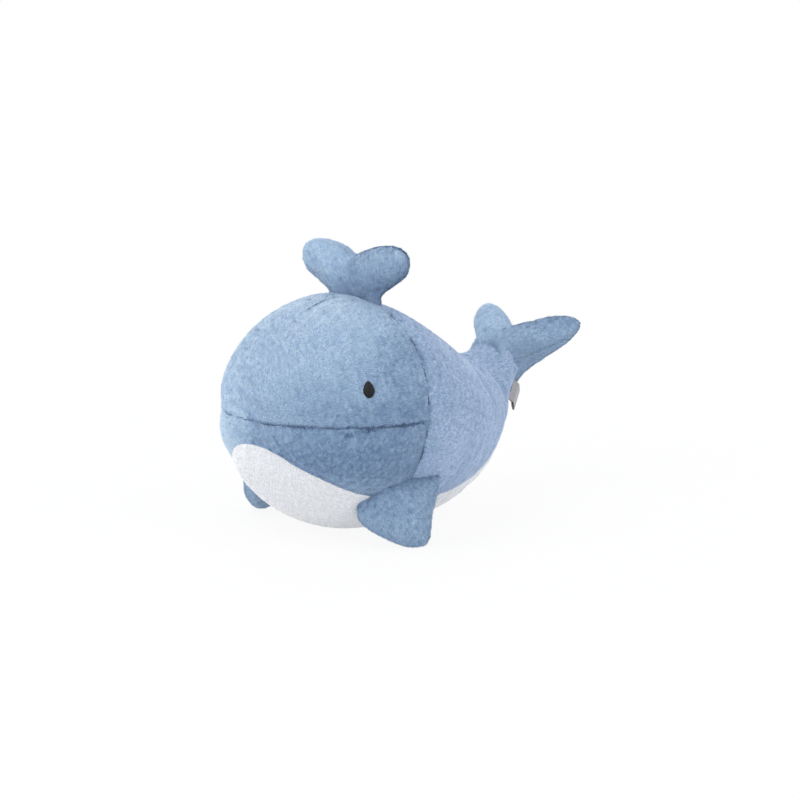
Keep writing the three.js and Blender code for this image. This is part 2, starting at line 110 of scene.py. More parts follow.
def way_to(azimuth, elevation):
    """A step of length 1 towards two angles in degrees: round from the nose to the whale's left, and up."""
    a, e = math.radians(azimuth), math.radians(elevation)
    return np.array([math.sin(a) * math.cos(e), -math.cos(a) * math.cos(e), math.sin(e)])


def point_at(viewer, place, aim):
    """Puts a camera or a lamp at a place and turns it to a point."""
    viewer.location = place
    viewer.rotation_mode = "QUATERNION"
    viewer.rotation_quaternion = (Vector(aim) - viewer.location).to_track_quat("-Z", "Y")


back = way_to(VIEW_AZIMUTH, VIEW_ELEVATION)
right = way_to(VIEW_AZIMUTH + 90, 0)
up = np.cross(back, right)

camera_data = bpy.data.cameras.new("photo_camera")
camera_data.sensor_width = 36
camera_data.lens = camera_data.sensor_width * VIEW_DISTANCE / FRAME_WIDTH
scene.camera = linked("photo_camera", camera_data)
point_at(scene.camera, GIRTH + back * VIEW_DISTANCE, GIRTH + right * AIM_RIGHT + up * AIM_UP)
scene.view_settings.view_transform = "Standard"
print("girth middle", GIRTH.round(5), "lens", camera_data.lens)

# %% [markdown]
# ## Shader sums
#
# A material is a graph of small nodes. Writing `1 - mask` is easier to follow than adding a Math node and
# two links, so one class wraps a socket and turns Python's signs into nodes.


# %% Wire: a socket that does arithmetic
class Wire:
    """An output socket of a node tree. Signs between wires and numbers add Math nodes."""

    def __init__(self, tree, socket=None):
        self.tree = tree
        self.socket = socket

    def node(self, kind, settings=None, inputs=None, output=0, stops=None):
        """Adds a node: its settings first, then a ramp's stops, then its sockets' values or links."""
        made = self.tree.nodes.new("ShaderNode" + kind)
        for name, value in (settings or {}).items():
            setattr(made, name, value)
        for k, (place, colour) in enumerate(stops or []):
            there = made.color_ramp.elements
            stop = there[k] if k < 2 else there.new(place)
            stop.position = place
            stop.color = (*colour, 1)
        for name, value in (inputs or {}).items():
            if isinstance(value, Wire):
                self.tree.links.new(value.socket, made.inputs[name])
            else:
                made.inputs[name].default_value = value
        return Wire(self.tree, made.outputs[output] if made.outputs else None)

    def maths(self, operation, first, second):
        return self.node("Math", {"operation": operation}, {0: first, 1: second})

    def __add__(self, other):
        return self.maths("ADD", self, other)

    def __sub__(self, other):
        return self.maths("SUBTRACT", self, other)

    def __mul__(self, other):
        return self.maths("MULTIPLY", self, other)

    def __rsub__(self, other):
        return self.maths("SUBTRACT", other, self)

    __radd__ = __add__
    __rmul__ = __mul__


def blank_material(name):
    """A new material with an empty tree, as (material, wire to add nodes with)."""
    material = bpy.data.materials.new(name)
    material.use_nodes = True
    material.node_tree.nodes.clear()
    return material, Wire(material.node_tree)


def close_material(tree, surface):
    """Links a finished shader to the material's output."""
    tree.node("OutputMaterial", inputs={"Surface": surface})


def linear(red, green, blue):
    """The linear colour of a screen colour of 0 to 255: each channel through the sRGB curve."""
    share = np.array([red, green, blue]) / 255
    curve = np.where(share <= 0.04045, share / 12.92, ((share + 0.055) / 1.055) ** 2.4)
    return tuple(float(x) for x in curve)


print("a screen grey of 128 is", round(linear(128, 128, 128)[0], 3), "in linear light")

# %% [markdown]
# ## Floor
#
# The photograph is a cut-out on white. Here the whale sits on a pale floor that keeps its shadow. The floor
# glows a little, as a light table does, which keeps the belly bright. To the camera most of its white is
# glow, and further from the toy all of it is, so the page is white out to its edges.

# %% Floor
FLOOR_HALF = 40.0
TABLE_GLOW = 0.4  # share of the floor's white that glows
FLOOR_GLOW = 0.9  # the same share as the camera sees it, near the toy
GLOW_NEAR, GLOW_FAR = 0.3, 1.3  # from here to there it rises to all of it
PAGE_RAYS = ("Is Camera Ray", "Is Glossy Ray", "Is Transmission Ray")


def page_rays(tree):
    """1 for the rays that see the page: those of the camera, of mirrors and of glass."""
    seen, mirrored, through = (tree.node("LightPath", output=name) for name in PAGE_RAYS)
    return tree.maths("MINIMUM", seen + mirrored + through, 1)


floor_mesh = bpy.data.meshes.new("floor")
square = FLOOR_HALF * np.array([[-1, -1, 0], [1, -1, 0], [1, 1, 0], [-1, 1, 0]])
floor_mesh.from_pydata(square.tolist(), [], [(0, 1, 2, 3)])
floor = linked("floor", floor_mesh)

floor_paint, tree = blank_material("floor_paint")
matte = tree.node("BsdfDiffuse", inputs={"Color": (0.9, 0.9, 0.9, 1)})
glow = tree.node("Emission", inputs={"Color": (1, 1, 1, 1), "Strength": 1.0})
place = tree.node("TexCoord", output="Object")
from_toy = tree.node("VectorMath", {"operation": "LENGTH"}, {0: place}, output="Value")
faded = {0: from_toy, 1: GLOW_NEAR, 2: GLOW_FAR, 3: FLOOR_GLOW - TABLE_GLOW, 4: 1 - TABLE_GLOW}
share = TABLE_GLOW + page_rays(tree) * tree.node("MapRange", {"interpolation_type": "SMOOTHSTEP"}, faded)
close_material(tree, tree.node("MixShader", inputs={0: share, 1: matte, 2: glow}))
floor_mesh.materials.append(floor_paint)
print("floor", 2 * FLOOR_HALF, "m wide")

# %% [markdown]
# ## Light
#
# Plush has no gloss to catch a lamp, so hard light would only cut black shadows into the pile. The toy gets
# a plain, soft studio light instead: an even sky, and four large panels of light round it.

# %% Sky and softboxes
SKY_STRENGTH = 0.68

world = bpy.data.worlds.new("studio")
scene.world = world
world.use_nodes = True
world.node_tree.nodes.clear()
tree = Wire(world.node_tree)
sky = tree.node("Background", inputs={"Color": (0.95, 0.97, 1.0, 1), "Strength": SKY_STRENGTH})
page = tree.node("Background", inputs={"Color": (1, 1, 1, 1), "Strength": 1.0})
seen = tree.node("MixShader", inputs={0: page_rays(tree), 1: sky, 2: page})
tree.node("OutputWorld", inputs={"Surface": seen})


def softbox(name, azimuth, elevation, distance, size, power):
    """A square panel of light that faces the girth, at two angles round it in degrees."""
    lamp = bpy.data.lights.new(name, "AREA")
    lamp.size = size
    lamp.energy = power
    point_at(linked(name, lamp), GIRTH + way_to(azimuth, elevation) * distance, GIRTH)


softbox("key_light", -12, 52, 1.6, 1.3, 10)
softbox("front_light", 8, 4, 2.2, 1.8, 12)
softbox("fill_light", 110, 35, 2.0, 1.6, 8)
softbox("back_light", 215, 38, 2.0, 1.6, 8)
print("lamps:", len(bpy.data.lights))

# %% [markdown]
# ## The body's surface
#
# From nose to tail the body is one smooth skin. Walking along it, every cross-cut is an ellipse: the
# ellipses grow over the head, shrink along the stock behind the girth while a sagging spine carries them
# up to the tail, and close in a half ball. Where the stock bends up, filling rounds out the back into a
# saddle. One formula with two parameters covers it all: how far along, and how far round from the underside.

# %% Body surface
TAIL_REACH, TAIL_RISE, TAIL_RADIUS = 165 * MM, 18.6 * MM, 23 * MM
TAIL_TILT = math.radians(50)
SPINE_BACK, SPINE_SAG, SPINE_END = 122 * MM, 23 * MM, 33 * MM
TAPER_POWER, TILT_POWER = 0.79, 1.15
SADDLE_ALONG, SADDLE_WIDTH, SADDLE_FILL = 0.8, 0.09, 7 * MM  # where the stock bends up to the tail
tail_axis = np.array([math.cos(TAIL_TILT), math.sin(TAIL_TILT)])  # in side view: y, z
tail_end = np.array([TAIL_REACH, TAIL_RISE])


def unit(rows):
    """Each row scaled to length 1."""
    return rows / np.maximum(np.linalg.norm(rows, axis=-1, keepdims=True), 1e-12)


def bell(value, width):
    """A bell curve: 1 at zero, and about a third at one width."""
    return np.exp(-((value / width) ** 2))


def cubic_curve(stops, share):
    """Points on a curve that four stops steer: with r = 1 - share and s = share, the stops are weighted by
    the terms of (r + s) cubed."""
    s = np.asarray(share)[..., None]
    p = np.asarray(stops)
    return (1 - s) ** 3 * p[0] + 3 * s * (1 - s) ** 2 * p[1] + 3 * s**2 * (1 - s) * p[2] + s**3 * p[3]


SPINE = np.array([(0, 0), (SPINE_BACK, -SPINE_SAG), tail_end - SPINE_END * tail_axis, tail_end])


def body_point(place, turn):
    """The body's skin. place runs 0 to 1 over the head, to 2 along the stock, and to 3 over the round end;
    turn runs round from the underside towards the whale's left. Half width and half height are
    (tail + (head - tail) * half a cosine of the way along) * sine over the head * cosine over the end. The
    saddle adds a bell curve of the way along, on the back."""
    place, turn = np.broadcast_arrays(place, turn)
    ahead = np.clip(place, 0, 1) * math.pi / 2
    along = np.clip(place - 1, 0, 1)
    over = np.clip(place - 2, 0, 1) * math.pi / 2
    taper = 0.5 + 0.5 * np.cos(math.pi * along**TAPER_POWER)
    narrow = np.sin(ahead) * np.cos(over)
    half_width = (TAIL_RADIUS + (HEAD_HALF_WIDTH - TAIL_RADIUS) * taper) * narrow
    half_height = (TAIL_RADIUS + (HEAD_HALF_HEIGHT - TAIL_RADIUS) * taper) * narrow
    tilt = TAIL_TILT * along**TILT_POWER
    spine = cubic_curve(SPINE, along)
    filled = bell(along - SADDLE_ALONG, SADDLE_WIDTH) * np.clip(-np.cos(turn), 0, 1) ** 2
    lift = SADDLE_FILL * filled - half_height * np.cos(turn)
    end_y, end_z = (tail_axis[k] * TAIL_RADIUS * np.sin(over) for k in (0, 1))
    y = spine[..., 0] - HEAD_REACH * np.cos(ahead) + end_y - np.sin(tilt) * lift
    z = spine[..., 1] + end_z + np.cos(tilt) * lift
    return GIRTH + np.stack([half_width * np.sin(turn), y, z], axis=-1)


print("body from", body_point(0, 0).round(4), "to", body_point(3, 0).round(4))

# %% [markdown]
# ## Seam lines
#
# Five panels make the body: head, jaw, two sides and the white belly. Their seams are simple when seen from
# the side: the girth seam is a straight line that leans back, the mouth is level, and the belly seam is a
# long curve from the chin to the tail.

# %% Seams in side view
GIRTH_AHEAD, GIRTH_LEAN = 5 * MM, math.tan(math.radians(9.5))
MOUTH_RISE, CHIN_RISE = 4 * MM, -14 * MM
CHEEK_BACK, CHEEK_RISE = 18.5 * MM, -32 * MM
BELLY_AHEAD, BELLY_RISE = 38 * MM, -51 * MM
BELLY_ANGLE, BELLY_TAIL_ANGLE, BELLY_SWELL = math.radians(46), math.radians(53), math.radians(7.5)
FAR_ALONG = 0.2  # the belly's line goes on past the tail


def spline(stops, count):
    """count points on a smooth curve through the stops. Between two stops it is a cubic, whose slope at a
    stop is half the step from the stop before it to the one after."""
    p = np.asarray(stops, float)
    steps = np.linspace(0, len(p) - 1, count)
    k = np.minimum(steps.astype(int), len(p) - 2)
    s = (steps - k)[:, None]
    a, b = p[np.maximum(k - 1, 0)], p[k]
    c, d = p[k + 1], p[np.minimum(k + 2, len(p) - 1)]
    return b + 0.5 * s * (c - a + s * (2 * a - 5 * b + 4 * c - d + s * (3 * (b - c) + d - a)))


chin_y = -HEAD_REACH * math.sqrt(1 - (CHIN_RISE / HEAD_HALF_HEIGHT) ** 2)
stock_stops = np.array([0.1, 0.3, 0.55, 0.8, 1])
stock_angles = BELLY_ANGLE + (BELLY_TAIL_ANGLE - BELLY_ANGLE) * stock_stops
stock_angles += BELLY_SWELL * np.sin(math.pi * stock_stops)
stock_seam = (body_point(1 + stock_stops, stock_angles) - GIRTH)[:, 1:]
head_seam = [(chin_y, CHIN_RISE), (CHEEK_BACK - HEAD_REACH, CHEEK_RISE), (-BELLY_AHEAD, BELLY_RISE)]
belly_line = np.vstack([spline([*head_seam, *stock_seam], 200), stock_seam[-1] + FAR_ALONG * tail_axis])
print("belly line from", belly_line[0].round(4), "to", belly_line[-2].round(4))

# %% [markdown]
# A seam's point on the skin has no simple formula, since its line is only simple in side view. It is found
# by halving: take a stretch of the skin that the seam crosses, ask on which side of the line its middle lies,
# keep the half with the crossing, and go on.


# %% Seams found by halving
def behind_girth(point):
    """How far a point lies behind the girth seam's line, along y."""
    y, z = point[..., 1] - GIRTH[1], point[..., 2] - GIRTH[2]
    return y + GIRTH_AHEAD - GIRTH_LEAN * z


def above_belly(point):
    """How far a point lies above the belly seam's line, along z."""
    y, z = point[..., 1] - GIRTH[1], point[..., 2] - GIRTH[2]
    return z - np.interp(y, belly_line[:, 0], belly_line[:, 1])


def crossing(side_of, low, high, halvings=40):
    """Where side_of turns from below to above zero between low and high, by halving the stretch."""
    low, high = np.array(low, float), np.array(high, float)
    for _ in range(halvings):
        middle = (low + high) / 2
        below = side_of(middle) < 0
        low, high = np.where(below, middle, low), np.where(below, high, middle)
    return (low + high) / 2


def girth_place(turn):
    """How far along the skin the girth seam lies, for each turn round the body."""
    return crossing(lambda place: behind_girth(body_point(place, turn)), 0.3 + 0 * turn, 1.7 + 0 * turn)


def belly_turn(place):
    """How far round from the underside the belly seam lies, for each place along the body."""
    return crossing(lambda turn: above_belly(body_point(place, turn)), 0 * place, math.pi + 0 * place)


def on_girth(turn):
    """The girth seam's point for each turn round the body."""
    return body_point(girth_place(turn), turn)


def above_mouth(point):
    """How far a point lies above the mouth seam, along z."""
    return point[..., 2] - GIRTH[2] - MOUTH_RISE


chin_place = math.asin(-CHIN_RISE / HEAD_HALF_HEIGHT) / (math.pi / 2)
girth_turn = float(crossing(lambda turn: above_belly(on_girth(turn)), 0.2, 2.0))
mouth_corner = float(crossing(lambda turn: above_mouth(on_girth(turn)), 0.5, 3.0))
meeting_angles = [round(math.degrees(turn), 1) for turn in (girth_turn, mouth_corner)]
print("belly and mouth seam meet the girth seam at", meeting_angles, "degrees")

# %% [markdown]
# Where a seam is sewn, the cloth is drawn in and the pile parts. For that, each seam is also kept as a row
# of points on the skin, with the depth to which it draws the cloth. The forehead has one more, a dart: a
# short tuck that runs forward from the spout and fades out. On the left of the jaw, just under the mouth, the
# cloth has a short crease, which is kept in the same way.

# %% Seams on the skin
TAIL_STOP = 2.35  # the panels end inside the flukes
MOUTH_PULL, GIRTH_PULL, DART_PULL = 0.7 * MM, 0.25 * MM, 0.6 * MM
BELLY_PULL, BACK_PULL, CREASE_PULL = 0.1 * MM, 0.1 * MM, 0.3 * MM
DART_FRONT, DART_REAR = 63 * MM, 9 * MM  # ahead of the girth
CREASE_FRONT, CREASE_REAR = np.array([[-64, -1.5], [-47, 2.2]]) * MM  # back and up from the girth's middle
MOUTH_LEVEL = MOUTH_RISE / HEAD_HALF_HEIGHT
HEAD_SIZE = np.array([HEAD_HALF_WIDTH, HEAD_REACH, HEAD_HALF_HEIGHT])


def head_share(back_and_up):
    """Points on the left of the head, back and up from the girth's middle by given lengths, on a head scaled
    to a unit ball: what the two lengths leave of the radius goes to the left."""
    share = np.asarray(back_and_up) / HEAD_SIZE[1:]
    left = np.sqrt(1 - (share**2).sum(axis=-1, keepdims=True))
    return np.concatenate([left, share], axis=-1)


def mouth_curve(share):
    """The mouth seam from the whale's right corner at -1 to its left at 1, on a head scaled to a ball."""
    corner = (on_girth(np.array(mouth_corner)) - GIRTH) / HEAD_SIZE
    angle = share * math.atan2(corner[0], -corner[1])
    level = math.sqrt(1 - MOUTH_LEVEL**2)
    return np.stack([level * np.sin(angle), -level * np.cos(angle), MOUTH_LEVEL + 0 * angle], axis=-1)


def girth_curve(share, first_turn):
    """The girth seam over the crown, from first_turn on the whale's right at -1 to its left at 1."""
    return on_girth(math.pi - share * (math.pi - first_turn))


def belly_curve(place):
    """The left belly seam at places along the body."""
    return body_point(place, belly_turn(place))


MIRROR = np.array([-1, 1, 1])
across = np.linspace(-1, 1, 500)
belly_seam = belly_curve(np.linspace(chin_place, TAIL_STOP, 500))
back_places = np.linspace(float(girth_place(np.array(math.pi))), TAIL_STOP, 300)
dart_ends = [math.acos(ahead / HEAD_REACH) for ahead in (DART_FRONT, DART_REAR)]
dart_places = np.linspace(*dart_ends, 80) * 2 / math.pi
crease = head_share(np.linspace(CREASE_FRONT, CREASE_REAR, 30))
mouth_fade = 0.3 + 0.7 * np.clip(across * 2 + 0.8, 0, 1)  # the mouth is shallow on the whale's right
girth_fade = 1 - 0.7 * np.clip(np.abs(across) * 2 - 1, 0, 1)  # and the girth seam low on both sides
dart_fade = np.linspace(0.2, 1, len(dart_places))
body_seams = {
    "mouth": (GIRTH + HEAD_SIZE * mouth_curve(across), MOUTH_PULL * mouth_fade),
    "girth": (girth_curve(across, girth_turn), GIRTH_PULL * girth_fade),
    "belly": (np.vstack([belly_seam, belly_seam * MIRROR]), BELLY_PULL),
    "back": (body_point(back_places, math.pi), BACK_PULL),
    "dart": (body_point(dart_places, math.pi), DART_PULL * dart_fade),
    "crease": (GIRTH + HEAD_SIZE * crease, CREASE_PULL),
}
print("seams of the body:", *body_seams)

# %% [markdown]
# What a seam does to the cloth depends on how far away it is: it draws the cloth in over a few millimetres,
# and holds it. Distances are taken in batches, since all points against all seam points at once would take a
# lot of memory.

# %% Pull of the seams
SEAM_REACH = 6 * MM  # how far a seam draws the cloth in


def nearest(points, line, batch=4000):
    """For each point, the distance to the nearest of a line's points and which one it is."""
    far, which = [], []
    for part in np.array_split(points, max(1, len(points) // batch)):
        gap = np.linalg.norm(part[:, None, :] - line[None, :, :], axis=-1)
        far.append(gap.min(axis=1))
        which.append(gap.argmin(axis=1))
    return np.concatenate(far), np.concatenate(which)


def seam_pull(points, seams, reach):
    """How deep the seams draw each point in: each seam's depth times a bell curve of the distance to it,
    the deepest one counting. Also how firmly a point is held, from 0 to 1 on a seam."""
    depth, held = np.zeros(len(points)), np.zeros(len(points))
    for line, pull in seams:
        gap, which = nearest(points, line)
        near = bell(gap, reach)
        depth = np.maximum(depth, np.broadcast_to(pull, len(line))[which] * near)
        held = np.maximum(held, near)
    return depth, held


nose_depth = seam_pull(body_point(0, 0)[None, :], body_seams.values(), SEAM_REACH)[0]
print("the mouth draws the nose in by", round(float(nose_depth[0]) / MM, 2), "mm")

# %% [markdown]
# ## Blowing up the cloth
#
# A stuffed toy gets its shape from two things that fight: fibre that pushes out everywhere and seams that
# do not give. Blender's cloth solver can do the same. The form is first remeshed to even squares, the seam
# points are drawn in and pinned, and a light air pressure swells what lies between them for twenty frames.
# How far a point may move is capped, so the toy keeps its size.

# %% Mesh helpers
WELD = 1e-7


def read_points(mesh, field="co"):
    """A mesh's points, or their normals, as an array of rows."""
    values = np.empty(len(mesh.vertices) * 3, np.float32)
    mesh.vertices.foreach_get(field, values)
    return values.reshape(-1, 3).astype(float)


def write_points(mesh, points):
    """Moves a mesh's points to the rows of an array."""
    mesh.vertices.foreach_set("co", np.ascontiguousarray(points, np.float32).ravel())
    mesh.update()


def grid_faces(rows, columns, wrap):
    """The squares of a grid of points as index rows: each point with its right, upper right and upper one."""
    index = np.arange(rows * columns).reshape(rows, columns)
    if wrap:
        index = np.hstack([index, index[:, :1]])
    return np.stack([index[:-1, :-1], index[1:, :-1], index[1:, 1:], index[:-1, 1:]], axis=-1).reshape(-1, 4)


def grid_piece(name, grid, wrap=False, closed=False):
    """A piece from a grid of points. Points that coincide, as at a pole, are welded, and a closed skin is
    turned outwards."""
    mesh = bpy.data.meshes.new(name)
    rows, columns = grid.shape[:2]
    mesh.from_pydata(grid.reshape(-1, 3).tolist(), [], grid_faces(rows, columns, wrap).tolist())
    work = bmesh.new()
    work.from_mesh(mesh)
    bmesh.ops.remove_doubles(work, verts=work.verts[:], dist=WELD)
    if closed:
        bmesh.ops.recalc_face_normals(work, faces=work.faces[:])
    work.to_mesh(mesh)
    work.free()
    return linked(name, mesh)


def settle(piece):
    """Puts the result of a piece's modifiers into its mesh and removes them."""
    made = bpy.data.meshes.new_from_object(piece.evaluated_get(bpy.context.evaluated_depsgraph_get()))
    piece.modifiers.clear()
    piece.data = made
    return piece


def modified(piece, kind, **settings):
    """Adds one modifier with its settings and applies it."""
    modifier = piece.modifiers.new(kind.lower(), kind)
    for name, value in settings.items():
        setattr(modifier, name, value)
    return settle(piece)


print("a grid of 3 by 4 points has", len(grid_faces(3, 4, wrap=False)), "squares")

# %% [markdown]
# The solver takes a weight for each point that tells how firmly it is held, so a weight that is 1 on the
# seams and falls beside them lets the cloth rise in a soft curve from every seam.

# %% Cloth under pressure
PRESSURE, PRESSURE_FRAMES, SWELL_CAP = 60, 20, 2.2 * MM
CLOTH_MASS = 0.02
CUT_LARGER = 0.03  # share by which the panels are cut larger than the form
HOLD_LEVELS = 8  # steps in which a point can be held


def weigh(form, name, weights):
    """Gives a form's points a named weight from 0 to 1, in a few levels."""
    group = form.vertex_groups.new(name=name)
    level = np.rint(weights * HOLD_LEVELS).astype(int)
    for k in range(1, HOLD_LEVELS + 1):
        group.add(np.flatnonzero(level == k).tolist(), k / HOLD_LEVELS, "REPLACE")


def swell(form, held):
    """Runs the cloth solver on a form: pressure inside, no weight, the seam points held. Each point then
    keeps its move, shortened to the cap."""
    start = read_points(form.data)
    weigh(form, "sewn", held)
    cloth = form.modifiers.new("cloth", "CLOTH")
    cloth.settings.quality = 5
    cloth.settings.mass = CLOTH_MASS
    cloth.settings.shrink_min = -CUT_LARGER
    cloth.settings.use_pressure = True
    cloth.settings.uniform_pressure_force = PRESSURE
    cloth.settings.effector_weights.gravity = 0
    cloth.settings.vertex_group_mass = "sewn"
    cloth.collision_settings.use_collision = False
    cloth.point_cache.frame_start = 1
    cloth.point_cache.frame_end = PRESSURE_FRAMES
    for step in range(1, PRESSURE_FRAMES + 1):
        scene.frame_set(step)
    blown = read_points(form.evaluated_get(bpy.context.evaluated_depsgraph_get()).data)
    form.modifiers.clear()
    scene.frame_set(1)
    move = blown - start
    size = np.linalg.norm(move, axis=1, keepdims=True)
    write_points(form.data, start + move * np.minimum(1, SWELL_CAP / np.maximum(size, WELD)))
    print(form.name, "swelled by", round(float(size.mean()) / MM, 2), "mm on average")


print("the cloth may swell by", SWELL_CAP / MM, "mm in", PRESSURE_FRAMES, "frames")

# %% [markdown]
# Every stuffed part goes the same way, from a closed skin to a blown form. Cloth cannot keep a sharp fold, so
# one soft point can be named round which the form is smoothed first: the back bends up to the tail in a soft
# saddle.

# %% Stuffed forms
CLOTH_DEPTH = 2.3 * MM  # of the slack ground cloth under the tips of the pile
REST_LEVEL = 0.5 * MM  # of the cloth over the floor
SOFT_REACH, SOFT_STEPS = 30 * MM, 40  # how far round a soft point the form is smoothed, and how often
QUICK_SWELL = 1.9 * MM


def stuffed_form(name, grid, seams, voxel, depth=CLOTH_DEPTH, soft=None):
    """The blown form of a stuffed part: its closed skin remeshed, smoothed round a soft point, drawn in at
    the seams, swelled, and pressed flat where it rests on the floor."""
    form = grid_piece(name, grid, wrap=True, closed=True)
    modified(form, "REMESH", mode="VOXEL", voxel_size=voxel)
    if soft is not None:
        weigh(form, "soft", bell(np.linalg.norm(read_points(form.data) - soft, axis=1), SOFT_REACH))
        modified(form, "SMOOTH", factor=0.5, iterations=SOFT_STEPS, vertex_group="soft")
    points, normals = read_points(form.data), read_points(form.data, "normal")
    drawn, held = seam_pull(points, seams, SEAM_REACH)
    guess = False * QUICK_SWELL * (1 - held)
    write_points(form.data, points - normals * (depth + drawn - guess)[:, None])
    swell(form, held)
    points = read_points(form.data)
    points[:, 2] = np.maximum(points[:, 2], REST_LEVEL)
    write_points(form.data, points)
    return modified(form, "SUBSURF", levels=1, render_levels=1)


print("the cloth lies", CLOTH_DEPTH / MM, "mm under the skin")

# %% [markdown]
# The body's skin is a grid in the formula's two parameters, with rows a few millimetres apart. The remesh
# then makes even squares of it, so the grid's own rows don't show.

# %% The body's form
BODY_VOXEL = 5 * MM
places = np.concatenate([np.linspace(0, 1, 40), np.linspace(1, 2, 48)[1:], np.linspace(2, 3, 10)[1:]])
turns = np.linspace(0, 2 * math.pi, 144, endpoint=False)
saddle = body_point(1 + SADDLE_ALONG, math.pi)
body_skin = body_point(places[:, None], turns[None, :])
body_form = stuffed_form("body_form", body_skin, body_seams.values(), BODY_VOXEL, soft=saddle)
print("body form", len(body_form.data.vertices), "points")

# %% [markdown]
# ## Laying the panels
#
# A panel is a piece of cloth with a real outline, so each one gets its own grid whose edges are the seams.
# On the head, a point between two seams is found on the great circle that joins them, on a head scaled to a
# ball. Behind the girth, the grid runs from the belly seam to the back and from the girth to the tail. The
# Shrinkwrap modifier then lays each grid on the blown form, and Solidify gives the cloth its thickness.

# %% Panel grids of the body
HEAD_ROWS, HEAD_COLUMNS = 60, 121
JAW_ROWS, SIDE_ROWS, SIDE_COLUMNS, BELLY_ROWS, BELLY_COLUMNS = 22, 80, 80, 130, 60


def between(first, last, rows):
    """Rows of points on great circles from one curve to another, both near a unit ball: the two ends
    weighted by the sines of the angles that are left and done."""
    first, last = unit(first), unit(last)
    angle = np.arccos(np.clip((first * last).sum(axis=-1, keepdims=True), -1, 1))
    share = np.linspace(0, 1, rows)[:, None, None]
    sine = np.maximum(np.sin(angle), WELD)
    arc = (np.sin((1 - share) * angle) * first + np.sin(share * angle) * last) / sine
    flat = (1 - share) * first + share * last
    return np.where(angle > 1e-3, arc, flat)


def head_grid():
    """From the mouth seam up to the girth seam, across from the whale's right to its left."""
    share = np.linspace(-1, 1, HEAD_COLUMNS)
    girth = (girth_curve(share, mouth_corner) - GIRTH) / HEAD_SIZE
    return GIRTH + HEAD_SIZE * between(mouth_curve(share), girth, HEAD_ROWS)


def jaw_grid():
    """From the belly seam up to the mouth seam, across from the whale's right to its left."""
    share = np.linspace(-1, 1, HEAD_COLUMNS)
    rear_place = float(girth_place(np.array(girth_turn)))
    belly = belly_curve(chin_place + np.abs(share) * (rear_place - chin_place))
    belly[share < 0] *= MIRROR
    return GIRTH + HEAD_SIZE * between((belly - GIRTH) / HEAD_SIZE, mouth_curve(share), JAW_ROWS)


def side_grid():
    """The whale's left side, from the girth seam to the tail and from the belly seam to the back. Place and
    turn depend on each other at the slanting edges, so they are worked out in turn until they agree."""
    along = np.linspace(0, 1, SIDE_ROWS)[:, None] + np.zeros(SIDE_COLUMNS)
    rise = np.linspace(0, 1, SIDE_COLUMNS)[None, :] + np.zeros((SIDE_ROWS, 1))
    turn = girth_turn + rise * (math.pi - girth_turn)
    for _ in range(8):
        start = girth_place(turn)
        place = start + along * (TAIL_STOP - start)
        low = belly_turn(place)
        turn = low + rise * (math.pi - low)
    return body_point(place, turn)


def belly_grid():
    """From one belly seam to the other, from the chin to the tail."""
    place = np.linspace(chin_place, TAIL_STOP, BELLY_ROWS)
    share = np.linspace(-1, 1, BELLY_COLUMNS)
    return body_point(place[:, None], belly_turn(place)[:, None] * share)


print("head grid", HEAD_ROWS, "by", HEAD_COLUMNS)

# %% [markdown]
# A laid panel keeps two sets of points: where the cloth lies now, and where it was on the formula's skin. The
# second set is the one to ask for seams, nap and tone, since every formula here speaks of that skin.

# %% Laying a grid on a form
CLOTH_THICK = 0.8 * MM


def laid_panel(name, grid, form, middle, wrap=False):
    """A panel's mesh laid on a form, its faces turned away from the middle of what it covers, and the points
    that it had before, on the skin."""
    panel = grid_piece(name, grid, wrap)
    points, normals = read_points(panel.data), read_points(panel.data, "normal")
    if ((points - middle) * normals).sum() < 0:
        panel.data.flip_normals()
    modified(panel, "SHRINKWRAP", target=form, wrap_method="NEAREST_SURFACEPOINT")
    return panel, points


body_grids = {
    "head_plush": head_grid(),
    "jaw_plush": jaw_grid(),
    "left_side_plush": side_grid(),
    "right_side_plush": side_grid() * MIRROR,
    "belly_plush": belly_grid(),
}
body_panels = {name: laid_panel(name, grid, body_form, GIRTH) for name, grid in body_grids.items()}
for name, (panel, _) in body_panels.items():
    print(name, len(panel.data.polygons), "squares")

# %% [markdown]
# ## Spout, fins and flukes
#
# These three are sewn flat: two equal pieces of plush, joined round the rim, turned and filled. Such a pillow
# is easy to describe in its own plane. Its outline comes first: spout and flukes have two lobes with a cleft
# between them, so one half is drawn with two curves and mirrored.


# %% Outlines
def smoothstep(value, low, high):
    """0 below low, 1 above high, and a smooth S between."""
    t = np.clip((value - low) / (high - low), 0, 1)
    return t * t * (3 - 2 * t)


def reach_along(line):
    """How far each point of a line is from its start, along the line."""
    return np.concatenate([[0], np.cumsum(np.linalg.norm(np.diff(line, axis=0), axis=1))])


def points_at(line, steps):
    """Points at given lengths along a line."""
    reach = reach_along(line)
    return np.stack([np.interp(steps, reach, values) for values in line.T], axis=-1)


def even_steps(line, count):
    """Points at even lengths round a closed line."""
    line = np.vstack([line, line[:1]])
    return points_at(line, np.linspace(0, reach_along(line)[-1], count, endpoint=False))


def two_lobes(neck, sunk, to_tip, to_cleft):
    """An outline with two equal lobes: one half from the neck to the tip and on to the cleft, and its mirror
    image. Below the neck it goes on straight into the body, to the depth of sunk."""
    share = np.linspace(0, 1, 60)[:-1]
    half = np.vstack([cubic_curve([neck, *to_tip], share), cubic_curve([to_tip[2], *to_cleft], share)])
    foot = [(neck[0], neck[1] - sunk)]
    other = np.vstack([foot, half])[::-1] * np.array([-1, 1])
    return MM * np.vstack([foot, half, [to_cleft[2]], other])


print("halfway, a smooth step is at", smoothstep(0.5, 0, 1))

# %% [markdown]
# A point of the plane is so far on its way from the middle to the rim. The thickness there falls from full in
# the middle to nothing at the rim, flat on top and steep at the edge, as a filled pillow's does.

